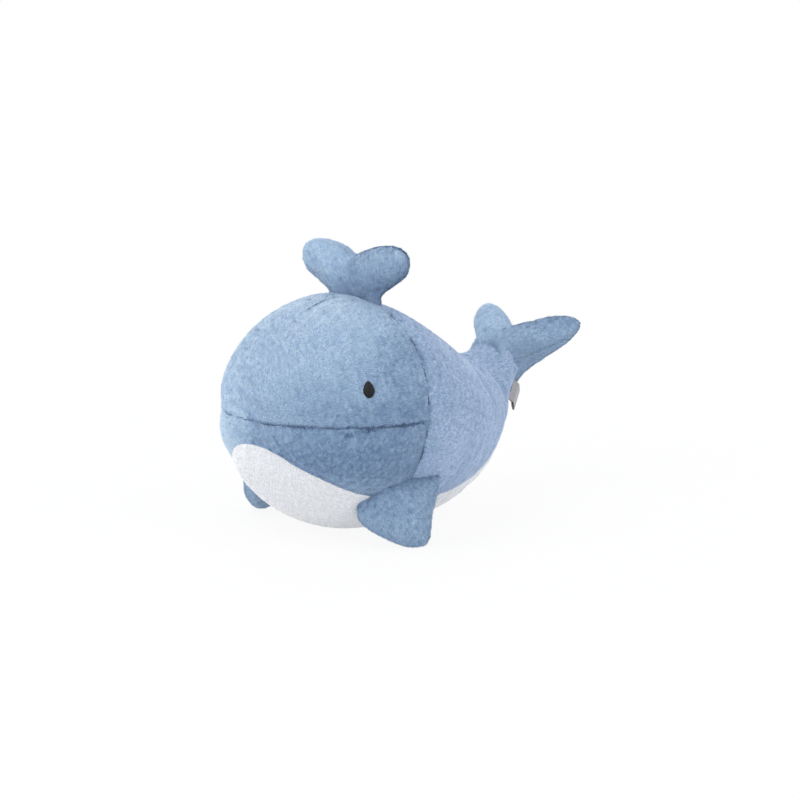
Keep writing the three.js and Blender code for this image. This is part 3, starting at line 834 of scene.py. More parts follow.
# %% Pillows
PILLOW_DEPTH = 0.7 * MM  # of the ground cloth under the tips of the pile
PILLOW_VOXEL = 2.6 * MM
PILLOW_ROWS, PILLOW_STEPS = 22, 120
RIM_PULL = 0.08 * MM
PLANE_SHRINK, THICK_SHRINK = 0.93, 0.72  # of the filling under the cloth


class Pillow:
    """A pillow in its own frame: an outline in the plane of the first two axes, thickness along the third."""

    def __init__(self, origin, axes, outline, middle, half_thick, bend):
        self.origin, self.axes, self.middle = np.array(origin), np.array(axes), MM * np.array(middle)
        self.rim = even_steps(outline, PILLOW_STEPS)
        self.half_thick, self.bend = half_thick, bend

    def place(self, flat, height):
        """Points of the plane, with their heights, in the toy's frame."""
        height = height + self.bend(flat)
        local = np.concatenate([flat, height[..., None]], axis=-1)
        return self.origin + local @ self.axes

    def face(self, side):
        """One face from the middle to the rim: the share of the way out is a quarter of a sine, and the
        height is the half thickness times the root of 1 - share to the fourth."""
        share = np.sin(np.linspace(0, math.pi / 2, PILLOW_ROWS))[:, None]
        flat = self.middle + (self.rim - self.middle) * share[..., None]
        return self.place(flat, side * self.half_thick(flat) * np.sqrt(1 - share**4))

    def skin(self):
        """Both faces as one closed grid, from the middle of one over the rim to the middle of the other."""
        return np.vstack([self.face(1), self.face(-1)[-2::-1]])

    def seams(self):
        """The rim as a seam line."""
        return [(self.place(self.rim, np.zeros(len(self.rim))), RIM_PULL)]

    def shrunk(self, points):
        """Points of the pillow drawn in towards its middle, more across the thickness than in the plane."""
        local = self.local(points)
        flat = self.middle + (local[:, :2] - self.middle) * PLANE_SHRINK
        return self.place(flat, (local[:, 2] - self.bend(local[:, :2])) * THICK_SHRINK)

    def out(self, points):
        """How far points are outside the pillow, below zero inside: the larger of how far they stand over its
        face and how far they lie beyond its rim, on the ray from the middle."""
        local = self.local(points)
        off, rim = local[:, :2] - self.middle, self.rim - self.middle
        angle, rim_angle = np.arctan2(off[:, 1], off[:, 0]), np.arctan2(rim[:, 1], rim[:, 0])
        reach = np.interp(angle, rim_angle, np.linalg.norm(rim, axis=1), period=2 * math.pi)
        share = np.linalg.norm(off, axis=1) / reach
        half = self.half_thick(local[:, :2]) * np.sqrt(np.maximum(0, 1 - share**4))
        return np.maximum(np.abs(local[:, 2] - self.bend(local[:, :2])) - half, (share - 1) * reach)

    def local(self, points):
        """Points of the toy's frame in the pillow's own."""
        return (points - self.origin) @ self.axes.T


print("a pillow's face has", PILLOW_ROWS, "by", PILLOW_STEPS, "points")

# %% [markdown]
# A pillow's root is sewn into the body, and no pile grows inside it. The body's formula gives points for its
# two parameters but not the other way round, so the height of a point over the body is measured from the
# nearest of many samples, along the way that points outwards there.

# %% Height over the body
sample_places, sample_turns = np.linspace(0.02, 2.98, 90)[:, None], np.linspace(0, 2 * math.pi, 120)[None, :]
body_samples = body_point(sample_places, sample_turns)
step_along = body_point(sample_places + 0.01, sample_turns) - body_samples
step_round = body_point(sample_places, sample_turns + 0.01) - body_samples
body_outward = unit(np.cross(step_along, step_round)).reshape(-1, 3)
body_samples = body_samples.reshape(-1, 3)


def above_body(points):
    """How far points stand above the body's skin, from the nearest of its samples; below zero inside."""
    which = nearest(points, body_samples)[1]
    return ((points - body_samples[which]) * body_outward[which]).sum(axis=1)


nose_height = above_body(body_point(0, 0)[None, :])[0]
print("the nose stands", round(nose_height / MM, 2), "mm above its nearest sample")

# %% [markdown]
# ### Spout
#
# The spout is a pillow with two lobes that stands across the crown. Its neck is sewn in flat, and the lobes
# swell above it.

# %% Spout
SPOUT_BACK, SPOUT_NECK, SPOUT_TIP, SPOUT_TIP_RISE = 11, 25, 55, 27  # mm
SPOUT_TOP_RISE, SPOUT_CLEFT_RISE, SPOUT_HALF_THICK, SEWN_HALF_THICK = 39, 27, 14, 9
SPOUT_SUNK = 9  # of its neck into the body
SEAM_GAP = 0.3 * MM

crown_place = crossing(lambda place: (body_point(place, math.pi) - GIRTH)[..., 1] - SPOUT_BACK * MM, 0.5, 1.5)
spout_root = body_point(crown_place, math.pi) + SEAM_GAP * UP
neck_drop = SPOUT_NECK**2 * HEAD_HALF_HEIGHT / MM / (2 * (HEAD_HALF_WIDTH / MM) ** 2)
spout_outline = two_lobes(
    (SPOUT_NECK, -neck_drop),
    SPOUT_SUNK,
    [
        (SPOUT_NECK * 1.14, SPOUT_TIP_RISE * 0.26),
        (SPOUT_TIP, SPOUT_TIP_RISE * 0.44),
        (SPOUT_TIP, SPOUT_TIP_RISE),
    ],
    [(SPOUT_TIP, SPOUT_TOP_RISE * 1.15), (SPOUT_TIP * 0.4, SPOUT_TOP_RISE * 1.1), (0, SPOUT_CLEFT_RISE)],
)


def spout_swell(flat):
    """Half the spout's thickness: as sewn at the neck, and full from 0.7 of the cleft's height on."""
    rise = smoothstep(flat[..., 1] / MM, -neck_drop, SPOUT_CLEFT_RISE * 0.7)
    return MM * (SEWN_HALF_THICK + (SPOUT_HALF_THICK - SEWN_HALF_THICK) * rise)


def straight(flat):
    """A pillow that lies in its plane."""
    return 0 * flat[..., 0]


spout_axes = [(1, 0, 0), (0, 0, 1), (0, -1, 0)]
spout_middle = (0, SPOUT_CLEFT_RISE * 0.6)
pillows = {"spout": Pillow(spout_root, spout_axes, spout_outline, spout_middle, spout_swell, straight)}
print("spout stands on", spout_root.round(4))

# %% [markdown]
# ### Fins
#
# A fin hangs from each side of the body. It is a rounded paddle, curved round it. The right fin is the left
# one mirrored.

# %% Fins
FIN_AHEAD, FIN_RISE, FIN_CHORD, FIN_SPAN, FIN_HALF_THICK = 6, -45.5, 59, 42.5, 9  # mm
FIN_DROOP, FIN_TOE = math.radians(84), math.radians(16)
FIN_CURL = 0.65  # share of the body's own roundness
FIN_SUNK = np.array([0, 0.2])  # of its root into the body, in spans

fin_root = GIRTH + HEAD_SIZE * head_share([-FIN_AHEAD * MM, FIN_RISE * MM])
toe_cosine, toe_sine = math.cos(FIN_TOE), math.sin(FIN_TOE)
fin_turn = np.array([(toe_cosine, toe_sine, 0), (-toe_sine, toe_cosine, 0), (0, 0, 1)])
fin_axes = np.array(
    [
        (0, -1, 0),
        (math.cos(FIN_DROOP), 0, -math.sin(FIN_DROOP)),
        (math.sin(FIN_DROOP), 0, math.cos(FIN_DROOP)),
    ]
) @ fin_turn.T
fin_stops = np.array(
    [(0.5, 0), (0.7, 0.2), (0.67, 0.56), (0.4, 0.86), (0.07, 1.05), (-0.14, 0.96), (-0.22, 0.5), (-0.37, 0)]
)
fin_edge = np.vstack([[fin_stops[0] - FIN_SUNK], spline(fin_stops, 160), [fin_stops[-1] - FIN_SUNK]])
fin_outline = MM * np.array([FIN_CHORD, FIN_SPAN]) * fin_edge


def fin_bend(flat):
    """The fin curls round the body: a parabola over its chord."""
    return -FIN_CURL * flat[..., 0] ** 2 / fin_root[0]


def fin_swell(flat):
    """Half the fin's thickness."""
    return FIN_HALF_THICK * MM + 0 * flat[..., 0]


fin_middle = (FIN_CHORD * 0.1, FIN_SPAN * 0.48)
for name, flip in (("left_fin", 1), ("right_fin", MIRROR)):
    pillows[name] = Pillow(fin_root * flip, fin_axes * flip, fin_outline, fin_middle, fin_swell, fin_bend)
print("left fin hangs from", fin_root.round(4))

# %% [markdown]
# ### Flukes
#
# The tail ends in two flukes, one pillow again, sewn round the end of the stock. They are thick at the root,
# where they take up the stock's roundness, and thin out to the tips.

# %% Flukes
FLUKE_TILT = math.radians(38)
FLUKE_TIP, FLUKE_REACH, FLUKE_CLEFT, FLUKE_HALF_THICK, FLUKE_SUNK = 53, 57, 30, 12, 14  # mm
FLUKE_SET, FLUKE_ROLL = np.array([0, 1.5, -1.5]) * MM, math.radians(2)  # how far the filled flukes settle
ROOT_NARROWS = 0.25  # how fast the part inside the stock gets thinner

TAIL_END = GIRTH + np.array([0, *tail_end])
tail_radius = TAIL_RADIUS / MM
fluke_outline = two_lobes(
    (tail_radius * 0.8, 0),
    FLUKE_SUNK,
    [
        (tail_radius * 1.3, FLUKE_REACH * 0.35),
        (FLUKE_TIP, FLUKE_REACH * 0.5),
        (FLUKE_TIP, FLUKE_REACH * 0.86),
    ],
    [(FLUKE_TIP, FLUKE_REACH * 1.12), (FLUKE_TIP * 0.5, FLUKE_REACH), (0, FLUKE_CLEFT)],
)


def fluke_swell(flat):
    """Half the flukes' thickness: the stock's radius at the root, falling smoothly towards the tips, and
    less again inside the stock."""
    thin = smoothstep(flat[..., 1] / MM, 0, FLUKE_REACH * 0.7)
    inside = ROOT_NARROWS * np.minimum(flat[..., 1], 0)
    return TAIL_RADIUS + (FLUKE_HALF_THICK * MM - TAIL_RADIUS) * thin + inside


fluke_out = np.array([0, math.cos(FLUKE_TILT), math.sin(FLUKE_TILT)])
fluke_left = np.array([math.cos(FLUKE_ROLL), 0, 0]) - math.sin(FLUKE_ROLL) * np.cross([1, 0, 0], fluke_out)
fluke_axes = [fluke_left, fluke_out, np.cross(fluke_left, fluke_out)]
fluke_root, fluke_middle = TAIL_END + FLUKE_SET, (0, FLUKE_CLEFT * 0.6)
pillows["fluke"] = Pillow(fluke_root, fluke_axes, fluke_outline, fluke_middle, fluke_swell, straight)
print("flukes stand on", fluke_root.round(4))

# %% [markdown]
# ## Pile
#
# Plush is all pile: hundreds of thousands of soft locks, each a few millimetres long, that lie over each
# other like shingles. Painting that as a bump leaves a hard, smooth outline, so here each lock is real.
# Two tools come first: a smooth random field, which will comb the locks into clumps and cloud their colour,
# and a way to strew their roots evenly over the cloth, by area.


# %% Wave fields and roots
def waves(points, size, seed, count=28):
    """A smooth random field about 1 in height: the sum of sine waves about one size long, of random ways
    and phases."""
    rng = np.random.default_rng(seed)
    ways = rng.normal(size=(count, 3))
    ways /= np.linalg.norm(ways, axis=1, keepdims=True)
    ways *= 2 * math.pi / (size * rng.uniform(0.7, 1.5, (count, 1)))
    return np.sin(points @ ways.T + rng.uniform(0, 2 * math.pi, count)).sum(axis=1) / math.sqrt(count / 2)


def strewn(mesh, per_mm2, rng):
    """Roots spread evenly over a mesh: the faces laid end to end by area, a root at every even step, and a
    random place within its face. Returns each root's three points and their weights."""
    mesh.calc_loop_triangles()
    corners = np.empty(len(mesh.loop_triangles) * 3, np.int32)
    mesh.loop_triangles.foreach_get("vertices", corners)
    corners = corners.reshape(-1, 3)
    a, b, c = (read_points(mesh)[corners[:, k]] for k in range(3))
    area = np.linalg.norm(np.cross(b - a, c - a), axis=1) / 2
    reach = np.cumsum(area)
    count = int(reach[-1] / MM**2 * per_mm2)
    face = np.searchsorted(reach, (np.arange(count) + rng.uniform(0, 1, count)) * reach[-1] / count)
    face = np.minimum(face, len(area) - 1)
    r, s = np.sqrt(rng.uniform(0, 1, count)), rng.uniform(0, 1, count)
    return corners[face], np.stack([1 - r, r * (1 - s), r * s], axis=1)


print("a wave field spreads by", round(float(waves(body_samples, 10 * MM, seed=0).std()), 2))

# %% [markdown]
# A lock is a flat, pointed spike with three faces. It keeps two numbers for its colour: its own tone, and
# how far a point is from root to tip. They become its place on a small map, so that the colour is easy to
# look up.

# %% Locks as meshes
LOCK_FACES = np.array([[0, 2, 1], [4, 6, 5], [3, 5, 6]])  # one above and two below
LOCK_RISES = [0.02, 0.02, 0.98, 0.02, 0.02, 0.08, 0.98]  # of its points, up its map
LOCK_SIDES = np.array([-1, 1, 0, -1, 1, 0, 0])  # left and right on its map
TONE_WIDTH = 0.008  # half a lock's width there


def lock_mesh(name, corners, facing, tone):
    """Locks as spikes of three faces that stand in the cloth. corners holds, for each lock, its left and
    right root, the root below and the tip. Light falls on its upper face as on the way it is facing, which
    keeps the pile soft; the lower faces have points of their own, as they are lit from below. The map places
    a lock by its tones at root and tip across and from root to tip upwards."""
    count = len(corners)
    mesh = bpy.data.meshes.new(name)
    left, right_root, below, tip = (corners[:, k] for k in range(4))
    points = np.stack([left, right_root, tip, left, right_root, below, tip], axis=1)
    mesh.vertices.add(points.shape[0] * points.shape[1])
    mesh.vertices.foreach_set("co", points.astype(np.float32).ravel())
    index = (points.shape[1] * np.arange(count)[:, None, None] + LOCK_FACES).ravel()
    mesh.loops.add(len(index))
    mesh.loops.foreach_set("vertex_index", index.astype(np.int32))
    mesh.polygons.add(count * len(LOCK_FACES))
    mesh.polygons.foreach_set("loop_start", np.arange(0, len(index), 3, dtype=np.int32))
    at_root, at_tip = tone[:, :1], tone[:, 1:]
    across_map = np.hstack([at_root, at_root, at_tip, at_root, at_root, at_root, at_tip])
    across_map = across_map + TONE_WIDTH * LOCK_SIDES
    up_map = np.broadcast_to(LOCK_RISES, (count, points.shape[1]))
    places_on_map = np.stack([across_map, up_map], axis=-1).reshape(-1, 2)
    layer = mesh.uv_layers.new(name="OFBake")
    layer.uv.foreach_set("vector", places_on_map[index].astype(np.float32).ravel())
    mesh.update(calc_edges=True)
    lower_left = unit(np.cross(below - left, tip - left))
    lower_right = unit(np.cross(tip - right_root, below - right_root))
    under = unit(lower_left + lower_right)
    lit_as = np.stack([facing, facing, facing, lower_left, lower_right, under, under], axis=1)
    normals = mesh.attributes.new("custom_normal", "FLOAT_VECTOR", "POINT")
    normals.data.foreach_set("vector", lit_as.astype(np.float32).ravel())
    return mesh


print("a lock has", len(LOCK_FACES), "faces and", len(LOCK_RISES), "points")

# %% [markdown]
# A lock leans along the nap, the way the pile was brushed, and clumps of locks turn together. Near a seam the
# pile is short and stands up, as it is caught in the stitches, and there its roots get painted shade, where
# the pile parts. Everything that is random here comes from a seed, so the toy is the same each time it is
# made.

# %% Combing
LOCK_WIDTH, LOCK_THICK = 0.84 * MM, 0.26 * MM
LENGTH_SHARES, WIDTH_SHARES = (0.72, 1.18), (0.8, 1.2)  # from the smallest lock to the largest
LOCK_LEAN, LEAN_SPREAD = math.radians(75), math.radians(5)
LEAST_LEAN, MOST_LEAN = 0.2, 1.45  # radians
NAP_SHADE = 0.42  # how much a lock's own tilt shows in its shading
TURN_SPREAD, CLUMP_TURN = math.radians(12), math.radians(14)
CLUMP_SIZE, PATCH_SIZE, SPOT_SIZE = 4.5 * MM, 45 * MM, 15 * MM
CLUMP_TONE, LOCK_TONE, PATCH_TONE, SPOT_TONE = 0.06, 0.1, 0.04, 0.03  # how far each moves the tone
SHORT_AT_SEAM, SEAM_STAND, SEAM_PARTING = 0.45, math.radians(40), 2.0 * MM
ROOT_DEPTH = 0.3 * MM
# painted shade at seams is the only tone below DARK_TONE
DARK_TONE = 0.12  # only seams are darker than this
LEAST_TONE, MOST_TONE = 0.02, 0.98
FLOOR_CLEAR = 0.15 * MM
HIDDEN = 0.4 * MM  # roots further behind a seam than this are left out
# SEAM_SHADE and TIP_SHADE are painted shade on the roots and tips where the pile parts at a seam
SEAM_SHADE, TIP_SHADE = 0.6, 0.45  # how much darker the roots are on a dark seam, and the tips' share of that
SEAM_BREAK = 7 * MM  # the pile covers a seam here and there, about this far apart


def turned(way, side, turn):
    """Two ways at right angles, both turned by an angle in their plane."""
    cosine, sine = np.cos(turn)[:, None], np.sin(turn)[:, None]
    return way * cosine + side * sine, side * cosine - way * sine


def combed_locks(panel, skin, gap, dark, nap, tone, plush, rng):
    """The locks of one panel as corner points, facing and tones. gap is how far each point of the panel is
    from a seam, below zero where the cloth is hidden, and dark how much painted shade a seam puts on it,
    where the pile parts; nap gives the way of the pile and tone its shade at points of the skin."""
    mesh = panel.data
    corners, weights = strewn(mesh, plush["per_mm2"], rng)

    def at_roots(values):
        return np.einsum("nk,nk...->n...", weights, values[corners])

    root, normal = at_roots(read_points(mesh)), unit(at_roots(read_points(mesh, "normal")))
    skin_root = at_roots(skin)
    root_gap = at_roots(gap)
    full = SHORT_AT_SEAM + (1 - SHORT_AT_SEAM) * np.clip(root_gap / SEAM_PARTING, 0, 1)
    length = plush["length"] * rng.uniform(*LENGTH_SHARES, len(root)) * full
    way = nap(skin_root)
    way = unit(way - normal * (way * normal).sum(axis=1, keepdims=True))
    clump = waves(skin_root, CLUMP_SIZE, seed=5)
    turn = CLUMP_TURN * clump + TURN_SPREAD * rng.normal(size=len(root))
    way, side = turned(way, np.cross(normal, way), turn)
    uneven = 0.6 * waves(skin_root, CLUMP_SIZE, seed=6) + 0.8 * rng.normal(size=len(root))
    lean = np.clip(LOCK_LEAN + LEAN_SPREAD * uneven - SEAM_STAND * (1 - full), LEAST_LEAN, MOST_LEAN)
    spike, face = turned(way, normal, math.pi / 2 - lean)
    half = side * (LOCK_WIDTH / 2 * rng.uniform(*WIDTH_SHARES, len(root)))[:, None]
    foot = root - normal * (ROOT_DEPTH * full)[:, None]
    tip = foot + spike * length[:, None]
    points = np.stack([foot - half, foot + half, foot - normal * LOCK_THICK, tip], axis=1)
    points[..., 2] = np.maximum(points[..., 2], FLOOR_CLEAR)
    shade = tone(skin_root) + CLUMP_TONE * clump + LOCK_TONE * rng.normal(size=len(root))
    patches, spots = waves(skin_root, PATCH_SIZE, seed=7), waves(skin_root, SPOT_SIZE, seed=10)
    shade = np.maximum(shade + (PATCH_TONE * patches + SPOT_TONE * spots), DARK_TONE)
    # painted shade at a seam, where the pile parts, broken where the pile covers the seam
    painted_seam_shade = SEAM_SHADE * (0.7 + 0.3 * waves(skin_root, SEAM_BREAK, seed=8)) * at_roots(dark)
    root_and_tip = np.stack([shade - painted_seam_shade, shade - TIP_SHADE * painted_seam_shade], axis=1)
    facing = unit(normal + NAP_SHADE * (face - normal))
    kept = root_gap > -HIDDEN
    return points[kept], facing[kept], np.clip(root_and_tip, LEAST_TONE, MOST_TONE)[kept]


print("locks are", LOCK_WIDTH / MM, "mm wide")

# %% [markdown]
# A panel can have more locks than one piece should hold. They are sorted along the toy and cut into equal
# lots, so each piece of pile covers a stretch of its own.

# %% Pile in pieces
MOST_LOCKS = 65000  # in one piece


def grow_pile(name, panel, skin, gap, dark, nap, tone, plush):
    """Adds a panel's locks as pieces of limited size, cut across the toy's length, and returns them."""
    rng = np.random.default_rng(sum(name.encode()))
    points, facing, shade = combed_locks(panel, skin, gap, dark, nap, tone, plush, rng)
    order = np.argsort(points[:, 3, 1])
    parts = np.array_split(order, math.ceil(len(order) / MOST_LOCKS))
    made = []
    for k, part in enumerate(parts):
        piece_name = f"{name}_{k + 1}" if len(parts) > 1 else name
        piece = linked(piece_name, lock_mesh(piece_name, points[part], facing[part], shade[part]))
        piece.data.materials.append(plush["pile"])
        made.append(piece)
    print(name, len(points), "locks in", len(parts), "pieces")
    return made


print("at most", MOST_LOCKS, "locks in a piece")

# %% [markdown]
# ## Plush colours
#
# Each lock looks its colour up on its small map: across by its tone, and upwards from a root darkened by
# painted shade to a paler tip. The Principled shader's sheen stands for the stray fibres that catch light at
# the edges. The knitted ground hardly shows, and gets a net of fine loops in one colour, with painted shade
# between them.

# %% Plush materials
# painted shade: the dark blue that the roots reach where the pile parts at a seam
SEAM_SHADE_BLUE = linear(60, 80, 114)
BLUE = [
    (0.0, SEAM_SHADE_BLUE),
    (DARK_TONE, linear(117, 144, 178)),
    (0.5, linear(171, 196, 220)),
    (1.0, linear(206, 224, 239)),
]
REAR_BLUE = [
    (0.0, SEAM_SHADE_BLUE),
    (DARK_TONE, linear(122, 145, 181)),
    (0.5, linear(180, 200, 228)),
    (1.0, linear(212, 225, 243)),
]
WHITE = [(0.0, linear(232, 234, 238)), (0.5, linear(250, 251, 253)), (1.0, linear(253, 253, 254))]


def mixed(tree, share, first, second, way="MIX"):
    """Two colours mixed by a share from 0 to 1."""
    settings = {"data_type": "RGBA", "blend_type": way}
    return tree.node("Mix", settings, {0: share, 6: first, 7: second}, output=2)


def pile_material(name, tones, root):
    """Pile whose tips follow the tones and whose roots are the same colour times root, a painted shade deep
    in the pile.
    """
    material, tree = blank_material(name)
    place = tree.node("UVMap", {"uv_map": "OFBake"})
    tone = tree.node("SeparateXYZ", inputs={0: place}, output="X")
    rise = tree.node("SeparateXYZ", inputs={0: place}, output="Y")
    tip = tree.node("ValToRGB", inputs={0: tone}, stops=tones)
    # painted shade at the roots, deep in the pile
    deep = mixed(tree, 1.0, tip, (*root, 1), "MULTIPLY")
    shown = tree.node("MapRange", {"interpolation_type": "SMOOTHSTEP"}, {0: rise, 1: 0.0, 2: 0.6})
    surface = {
        "Base Color": mixed(tree, shown, deep, tip),
        "Roughness": 0.95,
        "Specular IOR Level": 0.1,
        "Sheen Weight": 0.18,
        "Sheen Roughness": 0.5,
        "Sheen Tint": (0.86, 0.92, 1.0, 1),
    }
    close_material(tree, tree.node("BsdfPrincipled", inputs=surface))
    return material


def close_two_tone(tree, share, dark, pale, surface, bump=None):
    """Closes a material whose colour goes from dark to pale with a share. surface holds the shader's other
    sockets, and bump a height with its strength and its depth."""
    surface["Base Color"] = mixed(tree, share, (*dark, 1), (*pale, 1))
    if bump:
        height, strength, depth = bump
        relief = {"Height": height, "Strength": strength, "Distance": depth}
        surface["Normal"] = tree.node("Bump", inputs=relief)
    close_material(tree, tree.node("BsdfPrincipled", inputs=surface))


def knit_material(name, colour, loop=1.1 * MM):
    """Knitted ground: a net of small cells for the loops, raised in the middle, with painted shade between
    them.
    """
    material, tree = blank_material(name)
    place = tree.node("TexCoord", output="Object")
    net = tree.node("TexVoronoi", inputs={"Vector": place, "Scale": 1 / loop})
    patch = tree.node("TexNoise", inputs={"Vector": place, "Scale": 60.0, "Detail": 3.0})
    # painted shade between the loops
    shade = 1 - 0.35 * net - 0.12 * patch
    dark = tuple(0.55 * x for x in colour)
    surface = {"Roughness": 0.95, "Specular IOR Level": 0.1, "Sheen Weight": 0.15}
    close_two_tone(tree, shade, dark, colour, surface, (1 - net, 0.4, 0.3 * MM))
    return material


# the last colour of each is the painted shade at the roots
blue_pile = pile_material("blue_pile", BLUE, (0.66, 0.7, 0.76))
rear_pile = pile_material("rear_blue_pile", REAR_BLUE, (0.68, 0.72, 0.78))
white_pile = pile_material("white_pile", WHITE, (0.95, 0.95, 0.96))
blue_ground = knit_material("blue_ground", linear(142, 169, 203))
white_ground = knit_material("white_ground", linear(228, 230, 234))
print("plush materials:", blue_pile.name, rear_pile.name, white_pile.name)

# %% [markdown]
# ## Dressing a panel
#
# Every panel goes through the same hands: its pile is grown, the cloth gets its thickness, and both are
# handed to a tie. What a tie does is different for each part, so it is handed in as a function.

# %% Dressing
# The dark of a seam is painted shade where the pile parts.
DARK_FROM = 0.4 * MM  # a seam that draws the cloth in this deep looks fully dark
SEAM_MARK = 1.3 * MM  # how far the dark of a seam reaches


def seam_facts(skin, seams, outside, depth_inside, shade):
    """How far each point of a skin is from the nearest seam, and how much painted shade the seams put on it,
    where the pile parts. outside holds functions that tell how far points are outside the parts that this one
    is sewn
    to: those edges are seams too, with painted shade of the given strength. The cloth lies under the skin, so
    pile goes on inside such a part, down to depth_inside."""
    gap, dark = np.full(len(skin), np.inf), np.zeros(len(skin))
    for line, pull in seams:
        off, which = nearest(skin, line)
        depth = np.broadcast_to(pull, len(line))[which]
        gap = np.minimum(gap, off)
        dark = np.maximum(dark, np.minimum(1, depth / DARK_FROM) * bell(off, SEAM_MARK))
    for out in outside:
        off = out(skin)
        gap = np.minimum(gap, off + depth_inside)
        dark = np.maximum(dark, shade * bell(off, SEAM_MARK))
    return gap, dark


def cover(piece, material):
    """Gives a piece a material and smooth shading."""
    piece.data.materials.append(material)
    piece.data.shade_smooth()


def dress(panel, skin, gap, dark, nap, tone, plush, node, tie):
    """Finishes one panel: pile, thickness, materials, the CAD node it stands for and what it moves with."""
    locks = grow_pile(f"{panel.name}_pile", panel, skin, gap, dark, nap, tone, plush)
    modified(panel, "SOLIDIFY", thickness=CLOTH_THICK, offset=-1)
    cover(panel, plush["ground"])
    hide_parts(node)
    for piece in [panel, *locks]:
        tie(piece)


def on_body(piece):
    """Ties a piece to the whale's body."""
    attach(piece, "whale_body")


# A plush is a pile material, a ground material, the record's slot, the pile's length and the locks per mm2.
BLUE_PLUSH = dict(pile=blue_pile, ground=blue_ground, slot="blue_plush", length=2.9 * MM, per_mm2=3.1)
REAR_PLUSH = dict(pile=rear_pile, ground=blue_ground, slot="blue_plush", length=2.4 * MM, per_mm2=3.3)
WHITE_PLUSH = dict(pile=white_pile, ground=white_ground, slot="white_plush", length=2.6 * MM, per_mm2=2.0)
print("slots:", [plush["slot"] for plush in (BLUE_PLUSH, REAR_PLUSH, WHITE_PLUSH)])

# %% [markdown]
# ## The face
#
# The eyes sit in the pile, so they come before it: the pile has to leave them free. An eye is an oval button,
# drawn to a point at the top. On the real toy, the pile above it hangs over its edge.

# %% Eye places
EYE_BACK, EYE_RISE = 47.5 * MM, 31 * MM  # behind the nose, above the girth's middle
EYE_HALF_WIDTH, EYE_HALF_HEIGHT, EYE_DOME, EYE_SINK = 4.3 * MM, 6.2 * MM, 3.2 * MM, 0.6 * MM
EYE_POINTED = 0.38  # how much narrower the outline gets towards its top
EYE_PARTING = 2.4  # beside an eye the pile gets long this much faster than beside a seam

eye_share = head_share([EYE_BACK - HEAD_REACH, EYE_RISE])
eye_place = GIRTH + HEAD_SIZE * eye_share
eye_out = unit(eye_share / HEAD_SIZE)
eye_across = unit(np.cross(UP, eye_out))
eye_up = np.cross(eye_out, eye_across)


def eye_width(height):
    """The eye's half width as an ellipse, drawn in by a share of the height above its middle. Height runs
    from -1 at the foot to 1 at the top."""
    return EYE_HALF_WIDTH * (1 - EYE_POINTED * np.clip(height, 0, 1))


def from_eye(points):
    """The steps to points from the eye on their own side, mirrored to the whale's left."""
    return points * np.where(points[:, :1] < 0, MIRROR, 1) - eye_place


def eye_gap(points):
    """How far points are outside the outline of the eye on their own side, below zero on the eye."""
    off = from_eye(points)
    height = off @ eye_up / EYE_HALF_HEIGHT
    return (np.hypot(off @ eye_across / eye_width(height), height) - 1) * EYE_HALF_WIDTH


def eye_near(points, reach):
    """1 on an eye, falling as a bell curve of the distance to it."""
    return bell(np.linalg.norm(from_eye(points), axis=1), reach)


print("left eye at", eye_place.round(4))

# %% [markdown]
# ## The body's plush
#
# The nap is a field of ways over the skin. On the head and the sides it runs from nose to tail, so the pile
# lies smooth when the toy is stroked backwards, and it turns down over the eyes. On the left of the jaw it
# points up, towards the light, and so looks deeper, which its tone deepens further with painted shade. The
# belly's pile runs backwards.

# %% Naps of the body
EYE_SWIRL = 11 * MM


def to_tail(points):
    """The way from nose to tail: away from the body's long axis over the head, along it behind the girth."""
    off = points - GIRTH
    ahead = np.clip(-off[:, 1:2] / HEAD_REACH, 0, 1)
    outward = off * np.array([1, 0, 1]) / HEAD_HALF_WIDTH
    return np.array([0, 1, 0]) * np.sqrt(1 - ahead**2) + outward * ahead


def head_nap(points):
    """From nose to tail, and downwards round the eyes."""
    near = eye_near(points, EYE_SWIRL)[:, None]
    return unit(to_tail(points)) * (1 - near) - UP * near


def stroked_and_lit(turn):
    """How far the jaw's pile is brushed back like the head's, and how far painted light falls on its tone:
    all of it on the whale's right, none on its left. turn is the angle round the head in degrees."""
    return 1 - smoothstep(turn, -35, 25)


def head_places(points):
    """How far round the head points are, in degrees from the nose to the whale's left, and their height over
    the girth's middle as a share of the crown's."""
    off = (points - GIRTH) / HEAD_SIZE
    return np.degrees(np.arctan2(off[:, 0], -off[:, 1])), off[:, 2]


def jaw_nap(points):
    """Up and a little back on the left, as on the head in front and on the right."""
    share = stroked_and_lit(head_places(points)[0])[:, None]
    return share * unit(to_tail(points)) + (1 - share) * np.array([0, 0.4, 1.0])


def rear_nap(points):
    """Backwards, and a little down."""
    return np.array([0, 1.0, -0.15]) + 0 * points


print("the nap turns down within", EYE_SWIRL / MM, "mm of an eye")

# %% [markdown]
# The tones follow the photograph: each panel is one cloth, but painted light and shade leave it paler here
# and deeper there. A tone is a share from the deepest to the palest colour of its plush.

# %% Tones of the body
EYE_PALE = 0.12  # how much paler the parted pile round an eye is


def head_tone(points):
    """Painted light and shade: pale in front, deeper towards the girth and on the left cheek, which is in
    shade, and palest on top, where the light falls, and round the eyes, where the pile is parted."""
    turn, rise = head_places(points)
    # painted shade towards the girth and on the cheek, painted light on top
    by_girth = bell(np.abs(turn) - 90, 40)
    cheek = bell(turn - 42, 28) * bell(rise - 0.05, 0.42)
    top = (0.13 + 0.15 * by_girth) * smoothstep(rise, 0.55, 1)
    return 0.73 - 0.43 * by_girth - 0.38 * cheek + top + EYE_PALE * eye_near(points, EYE_SWIRL)


